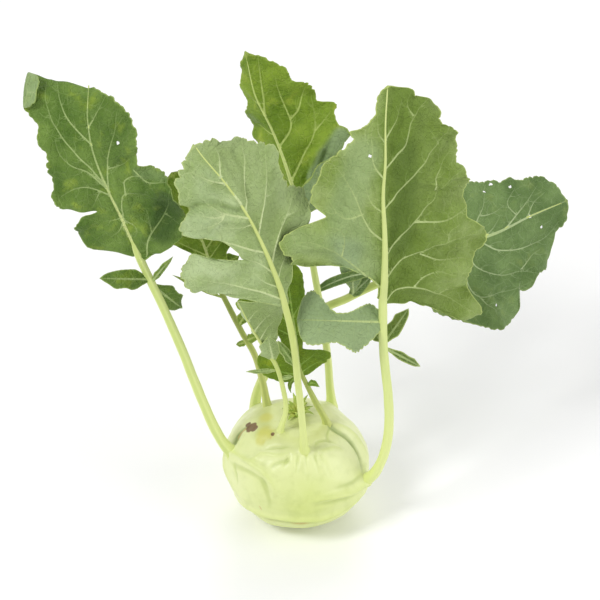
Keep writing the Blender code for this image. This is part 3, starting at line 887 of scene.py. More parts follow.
@dataclass
class Blade:
    """A veined leaf blade, from its flat drawing to a thin closed mesh.

    Each half has an edge of points (station, out, up): the row that starts at that station on the
    midrib ends at the edge, so far out and so far up. A fold is (height, width, line), and a curl
    (start, end, radius) rolls up what lies on the right of a line from start to end. A tone
    (strength, width, line) paints shade below 0 and a waxy colour above it, which is both the
    blade's own wax and painted light on lit crests and halves; waxy is the tone elsewhere.
    """

    name: str
    spine: Spine
    left: tuple
    right: tuple
    veins: tuple
    face: Face
    folds: tuple = ()
    curls: tuple = ()
    holes: tuple = ()
    tones: tuple = ()
    waxy: float = 0.0
    teeth: float = 1.1
    tooth_length: float = 5.0
    puff: float = 1.2
    ruffle: float = 1.1
    vein_width: float = 0.42
    branches: bool = True
    cell: float = CELL
    seed: int = 1
    thickness: float = 0.5
    rim_taper: float = 1.5
    curl_turn: float = 2.75
    trough_width: float = 3.6
    pucker_length: float = 12.0
    ruffle_length: float = 14.0
    ruffle_reach: float = 6.0
    small_vein: float = 0.15

    def drawing(self) -> tuple[np.ndarray, np.ndarray]:
        """Rows of the flat leaf, spaced evenly along its edges.

        Returns:
            The station of each row, and for each half of it how far out and up it ends.
        """
        end = self.left[-1][0]
        stations = np.linspace(self.left[0][0], end, DRAWING_STATIONS)
        halves = []
        for side in (self.left, self.right):
            marks = np.array(side, dtype=float)
            halves.append(eased(stations, marks[:, 0], marks[:, 1:]))
        dense = np.stack(halves, axis=1)
        steps = np.linalg.norm(np.diff(dense, axis=0), axis=2)
        marks = np.concatenate([[0.0], np.cumsum(0.5 * np.diff(stations) + 0.25 * steps.sum(axis=1))])
        levels = np.linspace(0.0, marks[-1], max(8, int(round(marks[-1] / self.cell))) + 1)
        rows = [np.interp(levels, marks, dense[:, half, axis]) for half in range(2) for axis in range(2)]
        return np.interp(levels, marks, stations), np.stack(rows, axis=1).reshape(-1, 2, 2)

    def tooth(self, edge: np.ndarray, reach: np.ndarray, seed: int) -> np.ndarray:
        """Rounded teeth of uneven size.

        Args:
            edge: lengths along the margin.
            reach: how far out from the midrib the margin lies there.
            seed: picks the pattern.

        Returns:
            How far the margin stands out at each length.
        """
        warped = edge + 1.8 * waves(edge[:, None], 23.0, seed)
        scallop = np.abs(np.sin(math.pi * warped / self.tooth_length)) ** 0.7 - 0.68
        small = np.abs(np.sin(math.pi * warped / (0.41 * self.tooth_length) + 1.0)) ** 0.8 - 0.66
        size = 0.8 + 0.5 * waves(edge[:, None], 31.0, seed + 1)
        return self.teeth * np.clip(reach / 12.0, 0.0, 1.0) * (size * scallop + 0.32 * small)

    def flat_grid(self) -> bpy.types.Object:
        """Grid whose vertices keep where they lie on the flat leaf.

        Returns:
            A mesh object with the attributes flat, rim and edge.
        """
        stations, rows = self.drawing()
        columns = 2 * max(4, int(round(rows[:, :, 0].max() / self.cell)))
        thing = primitive("grid", self.name, x_subdivisions=columns, y_subdivisions=len(rows) - 1, size=2.0)
        grid = places_of(thing)
        share = np.abs(grid[:, 0])
        share[share < 0.001] = 0.0
        half = (grid[:, 0] > 0.0).astype(int)
        row = np.clip(np.round((grid[:, 1] + 1.0) / 2.0 * (len(rows) - 1)).astype(int), 0, len(rows) - 1)
        edge = np.stack([lengths_along(rows[:, side]) for side in range(2)], axis=1)
        for side in range(2):
            tangent = unit(np.gradient(rows[:, side], axis=0) + 1e-9)
            outward = np.stack([tangent[:, 1], -tangent[:, 0]], axis=1)
            ray = unit(rows[:, side] - np.stack([np.zeros(len(rows)), stations - 1e-3], axis=1))
            crossing = np.clip((np.sum(ray * outward, axis=1) - CROSSING_NONE) / CROSSING_SPAN, 0.0, 1.0)
            teeth = crossing * self.tooth(edge[:, side], rows[:, side, 0], self.seed + 7 * side)
            rows[:, side] += teeth[:, None] * outward
        reach = np.maximum(rows[:, :, 0], 0.0)
        out = share * reach[row, half]
        across = np.where(half == 1, out, -out)
        along = stations[row] + share * (rows[row, half, 1] - stations[row])
        rim = (1.0 - share) * np.maximum(reach[row, half], 0.05)
        write_attribute(thing, "flat", np.stack([across, along, np.zeros_like(across)], axis=1))
        write_attribute(thing, "rim", rim)
        write_attribute(thing, "edge", edge[row, half])
        return thing

    def pierce(self, thing: bpy.types.Object) -> None:
        """Cut the small holes that insects have eaten.

        Args:
            thing: the flat grid.
        """
        flat = read_attribute(thing, "flat")[:, :2]
        gone = np.zeros(len(flat), dtype=bool)
        for across, along, radius in self.holes:
            gone |= np.hypot(flat[:, 0] - across, flat[:, 1] - along) < radius
        if not gone.any():
            return
        bpy.ops.object.mode_set(mode="EDIT")
        bpy.ops.mesh.select_mode(type="VERT")
        bpy.ops.mesh.select_all(action="DESELECT")
        bpy.ops.object.mode_set(mode="OBJECT")
        thing.data.vertices.foreach_set("select", gone)
        bpy.ops.object.mode_set(mode="EDIT")
        bpy.ops.mesh.delete(type="VERT")
        bpy.ops.object.mode_set(mode="OBJECT")

    def branch(self, path: np.ndarray, at: float, turn: float, draw: random.Random) -> np.ndarray:
        """Small vein that leaves another.

        Args:
            path: points of the vein that it leaves.
            at: share of that vein's length at which it leaves.
            turn: the side it leaves to, 1 or -1.
            draw: seeded random numbers.

        Returns:
            Its points, one a row.
        """
        index = int(at * (len(path) - 2))
        forward = unit(path[index + 1] - path[index])
        angle = turn * math.radians(draw.uniform(40.0, 65.0))
        reach = draw.uniform(4.5, 9.0) * (1.0 - 0.4 * at)
        first = np.array((forward[0] * math.cos(angle) - forward[1] * math.sin(angle),
                          forward[0] * math.sin(angle) + forward[1] * math.cos(angle)))
        middle = path[index] + 0.55 * reach * first
        tip = middle + 0.5 * reach * unit(first + 0.9 * forward)
        return smooth_path((path[index], middle, tip), VEIN_STEP)

    def vein_lines(self) -> list[tuple[np.ndarray, float]]:
        """Smooth vein lines of the flat leaf.

        Returns:
            Each line with its half width at the start.
        """
        draw = random.Random(self.seed)
        lines = []
        for vein in self.veins:
            path = smooth_path(vein, VEIN_STEP)
            length = lengths_along(path)[-1]
            lines.append((path, self.vein_width * min(1.0, 0.5 + length / 60.0)))
            turn = 1.0
            at = draw.uniform(4.0, 7.0)
            while self.branches and at < length - 3.0:
                lines.append((self.branch(path, at / length, turn, draw), self.small_vein))
                turn = -turn
                at += draw.uniform(5.0, 9.0)
        return lines

    def note_veins(self, thing: bpy.types.Object) -> tuple[np.ndarray, np.ndarray]:
        """Write down how close each vertex lies to the veins.

        Args:
            thing: the flat grid.

        Returns:
            The distance to a main vein, and how far the underside stands out there.
        """
        flat = read_attribute(thing, "flat")[:, :2]
        centre = 0.16 + 1.7 * self.vein_width * (1.0 - np.clip(flat[:, 1] / self.left[-1][0], 0.0, 1.0))
        reach = np.abs(flat[:, 0])
        side = np.sign(flat[:, 0])
        half = centre
        main = reach.copy()
        swell = np.zeros(len(flat))
        for line, width in self.vein_lines():
            low, high = line.min(axis=0) - 12.0, line.max(axis=0) + 12.0
            near = np.flatnonzero(np.all((flat > low) & (flat < high), axis=1))
            distance, share, turn = near_line(flat[near], line)
            local = width * (1.0 - 0.75 * share)
            swell[near] = np.maximum(swell[near], 1.2 * local * np.exp(-((distance / (local + 0.3)) ** 2)))
            if width > MAIN_VEIN_OVER:
                main[near] = np.minimum(main[near], distance)
            closer = distance - local < reach[near] - half[near]
            chosen = near[closer]
            reach[chosen] = distance[closer]
            side[chosen] = turn[closer]
            half[chosen] = local[closer]
        write_attribute(thing, "vein_reach", reach)
        write_attribute(thing, "vein_side", np.clip(reach, 0.0, 3.0) * side)
        write_attribute(thing, "vein_half", half)
        tone = np.full(len(flat), self.waxy)
        for strength, spread, line in self.tones:
            distance, _, _ = near_line(flat, np.array(line, dtype=float))
            tone += strength * np.exp(-((distance / spread) ** 4))
        write_attribute(thing, "tone", np.clip(tone, -1.0, 1.0))
        return main, swell

    def relief(self, thing: bpy.types.Object, main: np.ndarray) -> np.ndarray:
        """How far the middle of the blade lies in front of its smooth form.

        Args:
            thing: the flat grid.
            main: distance of each vertex to a main vein.

        Returns:
            One lift for each vertex.
        """
        flat = read_attribute(thing, "flat")[:, :2]
        rim = read_attribute(thing, "rim")
        edge = read_attribute(thing, "edge")
        out = np.clip(np.abs(flat[:, 0]) / np.maximum(np.abs(flat[:, 0]) + rim, 1.0), 0.0, 1.0)
        near_rim = np.exp(-rim / self.ruffle_reach)
        off_midrib = 1.0 - np.exp(-((flat[:, 0] / 4.0) ** 2))
        pillow = 1.0 - np.exp(-((main / self.trough_width) ** 2))
        lift = self.face.value * self.puff * pillow * (1.0 - 0.6 * near_rim)
        lift += 0.4 * self.puff * waves(flat, self.pucker_length, self.seed + 3) * off_midrib
        along_rim = edge[:, None] + 40.0 * (flat[:, :1] > 0.0)
        lift += self.ruffle * near_rim * out * waves(along_rim, self.ruffle_length, self.seed + 5)
        for height, spread, line in self.folds:
            distance, _, _ = near_line(flat, np.array(line, dtype=float))
            lift += height * np.exp(-((distance / spread) ** 2))
        return lift

    def surface(self, flat: np.ndarray, lift: np.ndarray) -> np.ndarray:
        """Places of the middle of the blade, with its curls rolled up.

        Args:
            flat: places on the flat leaf, one a row.
            lift: how far each lies in front of the smooth form.

        Returns:
            Places in space, one a row.
        """
        flat = flat.copy()
        for start, end, radius in self.curls:
            onward = unit(np.array(end, dtype=float) - np.array(start, dtype=float))
            outward = np.array((onward[1], -onward[0]))
            over = np.clip((flat - np.array(start)) @ outward, 0.0, None)
            angle = np.minimum(over / radius, self.curl_turn)
            beyond = np.clip(over - self.curl_turn * radius, 0.0, None)
            flat += (radius * np.sin(angle) + beyond * math.cos(self.curl_turn) - over)[:, None] * outward
            rolled = radius * (1.0 - np.cos(angle)) + beyond * math.sin(self.curl_turn)
            lift = lift + self.face.value * rolled
        places = self.spine.place(flat[:, 0], flat[:, 1])
        return places + lift[:, None] * self.spine.front(flat[:, 0], flat[:, 1])

    def build(self) -> bpy.types.Object:
        """Build the blade.

        Returns:
            A closed mesh object.
        """
        thing = self.flat_grid()
        self.pierce(thing)
        main, swell = self.note_veins(thing)
        middle = self.surface(read_attribute(thing, "flat")[:, :2], self.relief(thing, main))
        move_to(thing, middle)
        facing = np.empty(3 * len(middle))
        thing.data.vertex_normals.foreach_get("vector", facing)
        facing = facing.reshape(-1, 3)
        solid = thing.modifiers.new("thickness", "SOLIDIFY")
        solid.thickness = self.thickness * MM
        bpy.ops.object.modifier_apply(modifier="thickness")
        rim = read_attribute(thing, "rim")
        skin = np.where(np.arange(len(rim)) < len(middle), 1.0, -1.0)
        under = skin * self.face.value < 0.0
        thick = self.thickness * (0.5 + 0.5 * np.clip(rim / self.rim_taper, 0.0, 1.0))
        vein = np.tile(swell, 2)
        depth = 0.5 * thick + np.where(under, vein, -0.3 * vein * (rim > 0.4))
        move_to(thing, np.tile(middle, (2, 1)) + (skin * depth)[:, None] * np.tile(facing, (2, 1)))
        write_attribute(thing, "under", under.astype(float))
        merge_doubles(thing, BLADE_MERGE)
        return thing


@dataclass(frozen=True)
class Leaflet:
    """A small leaf on a stalk: the height it leaves the stalk at, its tip, its width and its outline.

    The outline is (share of the length, left share of the half width, right share of it).
    """

    height: float
    tip: tuple
    width: float
    outline: tuple = ((0.0, 0.18, 0.18), (0.18, 0.55, 0.5), (0.36, 0.95, 0.85), (0.52, 0.78, 0.8),
                      (0.68, 0.88, 0.7), (0.84, 0.45, 0.5), (1.0, 0.0, 0.0))
    face: Face = Face.UPPER
    folds: tuple = ()
    waxy: float = 0.0
    bow: tuple = (0.0, 0.0, 0.0)

    def build(self, name: str, midrib: Midrib, seed: int) -> bpy.types.Object:
        """Build the leaflet on its stalk.

        Args:
            name: the mesh object's name.
            midrib: the line of the stalk that it grows on.
            seed: picks the pattern of its edge and its puckers.

        Returns:
            The mesh object.
        """
        root = midrib.path[np.abs(midrib.path[:, 2] - self.height).argmin()]
        sprig = Sprig(root, self.tip, self.bow)
        half = 0.5 * self.width
        length = sprig.length
        left = tuple((share * length, out * half, share * length) for share, out, _ in self.outline)
        right = tuple((share * length, out * half, share * length) for share, _, out in self.outline)
        veins = []
        for share in (0.16, 0.34, 0.52, 0.7):
            reach = 0.8 * half * (1.0 - 0.5 * share)
            for turn in (-1.0, 1.0):
                veins.append(((0.0, share * length), (turn * 0.5 * reach, share * length + 0.35 * reach),
                              (turn * reach, share * length + 0.9 * reach)))
        blade = Blade(name, sprig, left, right, tuple(veins), self.face, self.folds, waxy=self.waxy,
                      teeth=max(0.45, 0.04 * self.width), tooth_length=3.0, puff=0.04 * self.width,
                      ruffle=0.05 * self.width, vein_width=0.2, branches=self.width > 12.0,
                      cell=LEAFLET_CELL, seed=seed)
        return blade.build()


@dataclass(frozen=True)
class Looks:
    """How one leaf differs in its finish."""

    blade: LeafFinish
    stalk: StalkFinish
    slot: str


@dataclass(frozen=True)
class Leaf:
    """One stalked leaf: its stalk, its blade and the leaflets on its stalk.

    The stalk runs from the foot in the bulb, up the stalk and along the midrib. Its radii are those
    at the foot, up the stalk, where the blade begins, and at the midrib's end.
    """

    node: str
    stalk: tuple
    blade_from: int
    radii: tuple
    side: tuple
    fold: tuple
    left: tuple
    right: tuple
    veins: tuple
    face: Face
    looks: Looks
    folds: tuple = ()
    curls: tuple = ()
    holes: tuple = ()
    leaflets: tuple = ()
    tones: tuple = ()
    seed: int = 1
    teeth: float = 1.2
    tooth_length: float = 5.0
    puff: float = 1.2
    vein_width: float = 0.42
    ring_step: float = 1.2
    slim_at: float = 12.0
    even_at: float = 26.0
    taper: float = 1.7
    ribs: float = 7.0
    rib_depth: float = 0.035
    groove_depth: float = 0.22
    blend: float = 12.0
    flare_share: float = 0.34
    flare_reach: float = 3.2

    def midrib(self) -> Midrib:
        """The line that carries the leaf."""
        return Midrib(self.stalk, self.blade_from, self.side, self.fold)

    def build_stalk(self, midrib: Midrib) -> bpy.types.Object:
        """Build the ribbed stalk and the midrib that it runs on as.

        Args:
            midrib: the line that carries the leaf.

        Returns:
            The mesh object.
        """
        length = midrib.lengths[-1]
        rings = int(length / self.ring_step)
        thing = primitive("uv_sphere", f"{self.node}_stalk", segments=28, ring_count=rings, radius=1.0)
        ball = places_of(thing)
        level = np.arccos(np.clip(ball[:, 2], -1.0, 1.0)) / math.pi
        pole = (level < 0.2 / rings) | (level > 1.0 - 0.2 / rings)
        share = np.clip((level * rings - 1.0) / (rings - 2.0), 0.0, 1.0)
        around = np.arctan2(ball[:, 1], ball[:, 0])
        steps = np.linspace(0.0, 1.0, rings - 1)
        path = midrib.at(steps * length)
        forward = unit(np.gradient(path, axis=0))
        side = self.carried_side(midrib, forward, int(round(midrib.start / length * (rings - 2))))
        front = np.cross(side, forward)
        index = np.clip(np.round(share * (rings - 2)).astype(int), 0, rings - 2)
        run = share * length
        foot, stalk, base, tip = self.radii
        marks = (0.0, self.slim_at, self.even_at, midrib.start, length)
        radius = np.interp(run, marks, (foot, 0.4 * foot + 0.6 * stalk, stalk, base, base))
        up_blade = np.clip((run - midrib.start) / (length - midrib.start), 0.0, 1.0)
        bare = tip + (base - tip) * (1.0 - up_blade) ** self.taper
        radius = np.where(run > midrib.start, bare, radius)
        sunk_in = np.hypot(path[:, 0], path[:, 1]) / BULB_RADIUS
        sunk_in = sunk_in ** 2 + ((path[:, 2] - BULB_CENTRE_HEIGHT) / BULB_HALF_HEIGHT) ** 2 < 1.0
        buried = steps[sunk_in].max() * length if sunk_in.any() else 0.0
        radius += self.flare_share * foot * np.exp(-np.clip(run - buried, 0.0, None) / self.flare_reach)
        radius *= 1.0 + 0.03 * waves(np.stack([run, 3.0 * around], axis=1), 19.0, self.seed)
        inward = self.face.value * np.sin(around)
        groove = np.clip(inward, 0.0, 1.0) ** 5
        ribs = self.rib_depth * np.cos(self.ribs * around + 0.4) * (1.0 - groove)
        radius = radius * (1.0 + ribs - self.groove_depth * groove)
        radius[pole] = 0.0
        in_blade = np.clip((run - midrib.start) / self.blend, 0.0, 1.0)
        sunk = -self.face.value * in_blade * (bare - np.maximum(0.22 * bare, 0.32))
        ring = np.cos(around)[:, None] * side[index] + np.sin(around)[:, None] * front[index]
        move_to(thing, path[index] + radius[:, None] * ring + sunk[:, None] * front[index])
        write_attribute(thing, "share", np.clip(0.55 * run / midrib.start, 0.0, 0.55) + 0.45 * in_blade)
        write_attribute(thing, "groove", groove)
        return thing

    def carried_side(self, midrib: Midrib, forward: np.ndarray, base: int) -> np.ndarray:
        """Side direction at each ring of a stalk.

        Args:
            midrib: the line that carries the leaf.
            forward: the line's direction at each ring.
            base: the ring at the blade's foot, from which the side is carried both ways without a twist.

        Returns:
            One direction for each ring.
        """
        side = np.empty_like(forward)
        side[base] = unit(midrib.side - (forward[base] @ midrib.side) * forward[base])
        for back, rings in ((1, range(base - 1, -1, -1)), (-1, range(base + 1, len(forward)))):
            for ring in rings:
                last = side[ring + back]
                side[ring] = unit(last - (last @ forward[ring]) * forward[ring])
        return side

    def build(self) -> None:
        """Build the leaf and hand over its blade and its stalk."""
        midrib = self.midrib()
        blade = Blade(f"{self.node}_blade", midrib, self.left, self.right, self.veins, self.face, self.folds,
                      self.curls, self.holes, self.tones, teeth=self.teeth, tooth_length=self.tooth_length,
                      puff=self.puff, vein_width=self.vein_width, seed=self.seed)
        pieces = [blade.build()]
        for number, leaflet in enumerate(self.leaflets):
            pieces.append(leaflet.build(f"{self.node}_leaflet_{number}", midrib, self.seed + 20 + number))
        hand_over(join(f"{self.node}_blade", pieces), self.node, self.looks.slot, self.looks.blade.material())
        hand_over(self.build_stalk(midrib), self.node, "stalk", self.looks.stalk.material())


DEEP_LEAF = LeafFinish("leaf_deep_green", seen(74, 106, 28), seen(114, 143, 62), seen(148, 170, 54), 0.65,
                       seen(176, 196, 128), seen(130, 154, 96), seen(152, 174, 120), seen(196, 210, 150),
                       seen(158, 180, 96))
# Brighter greens that paint the glow of light shining through the back blade; the leaf behind on the left
# shares them.
LIT_LEAF = LeafFinish("leaf_lit_green", seen(100, 130, 26), seen(138, 165, 52), seen(164, 182, 62), 0.7,
                      seen(188, 206, 116), seen(112, 136, 88), seen(140, 162, 112), seen(186, 200, 140),
                      seen(166, 186, 86))
VIVID_LEAF = LeafFinish("leaf_vivid_green", seen(88, 118, 20), seen(122, 150, 36), seen(168, 184, 40), 0.6,
                        seen(150, 182, 84), seen(104, 130, 60), seen(130, 154, 84), seen(180, 198, 120),
                        seen(140, 168, 60))
BLUE_LEAF = LeafFinish("leaf_blue_green", seen(88, 116, 58), seen(120, 147, 86), seen(142, 160, 84), 0.4,
                       seen(190, 207, 156), seen(124, 148, 100), seen(148, 170, 122), seen(190, 205, 150),
                       seen(160, 180, 106), midrib=seen(184, 203, 140))
GREY_LEAF = LeafFinish("leaf_grey_underside", seen(96, 124, 52), seen(124, 150, 74), seen(160, 182, 104), 0.5,
                       seen(176, 196, 128), seen(151, 173, 108), seen(188, 206, 154), seen(206, 219, 162),
                       seen(188, 204, 130), 0.56, seen(134, 156, 86), 0.6)
LIME_LEAF = LeafFinish("leaf_lime_underside", seen(88, 114, 42), seen(118, 142, 62), seen(122, 140, 52), 0.9,
                       seen(176, 196, 128), seen(126, 150, 66), seen(164, 184, 112), seen(192, 208, 142),
                       seen(194, 210, 124), 0.56, seen(100, 126, 38), 0.85)
PALE_STALK = StalkFinish("stalk_pale", seen(224, 234, 152), seen(212, 225, 142), seen(202, 214, 134),
                         seen(180, 200, 96))
GREEN_STALK = StalkFinish("stalk_green", seen(220, 230, 148), seen(196, 210, 118), seen(198, 210, 124),
                          seen(168, 188, 86))
OLIVE_STALK = StalkFinish("stalk_olive", seen(204, 212, 124), seen(164, 178, 88), seen(172, 188, 104),
                          seen(138, 152, 66))

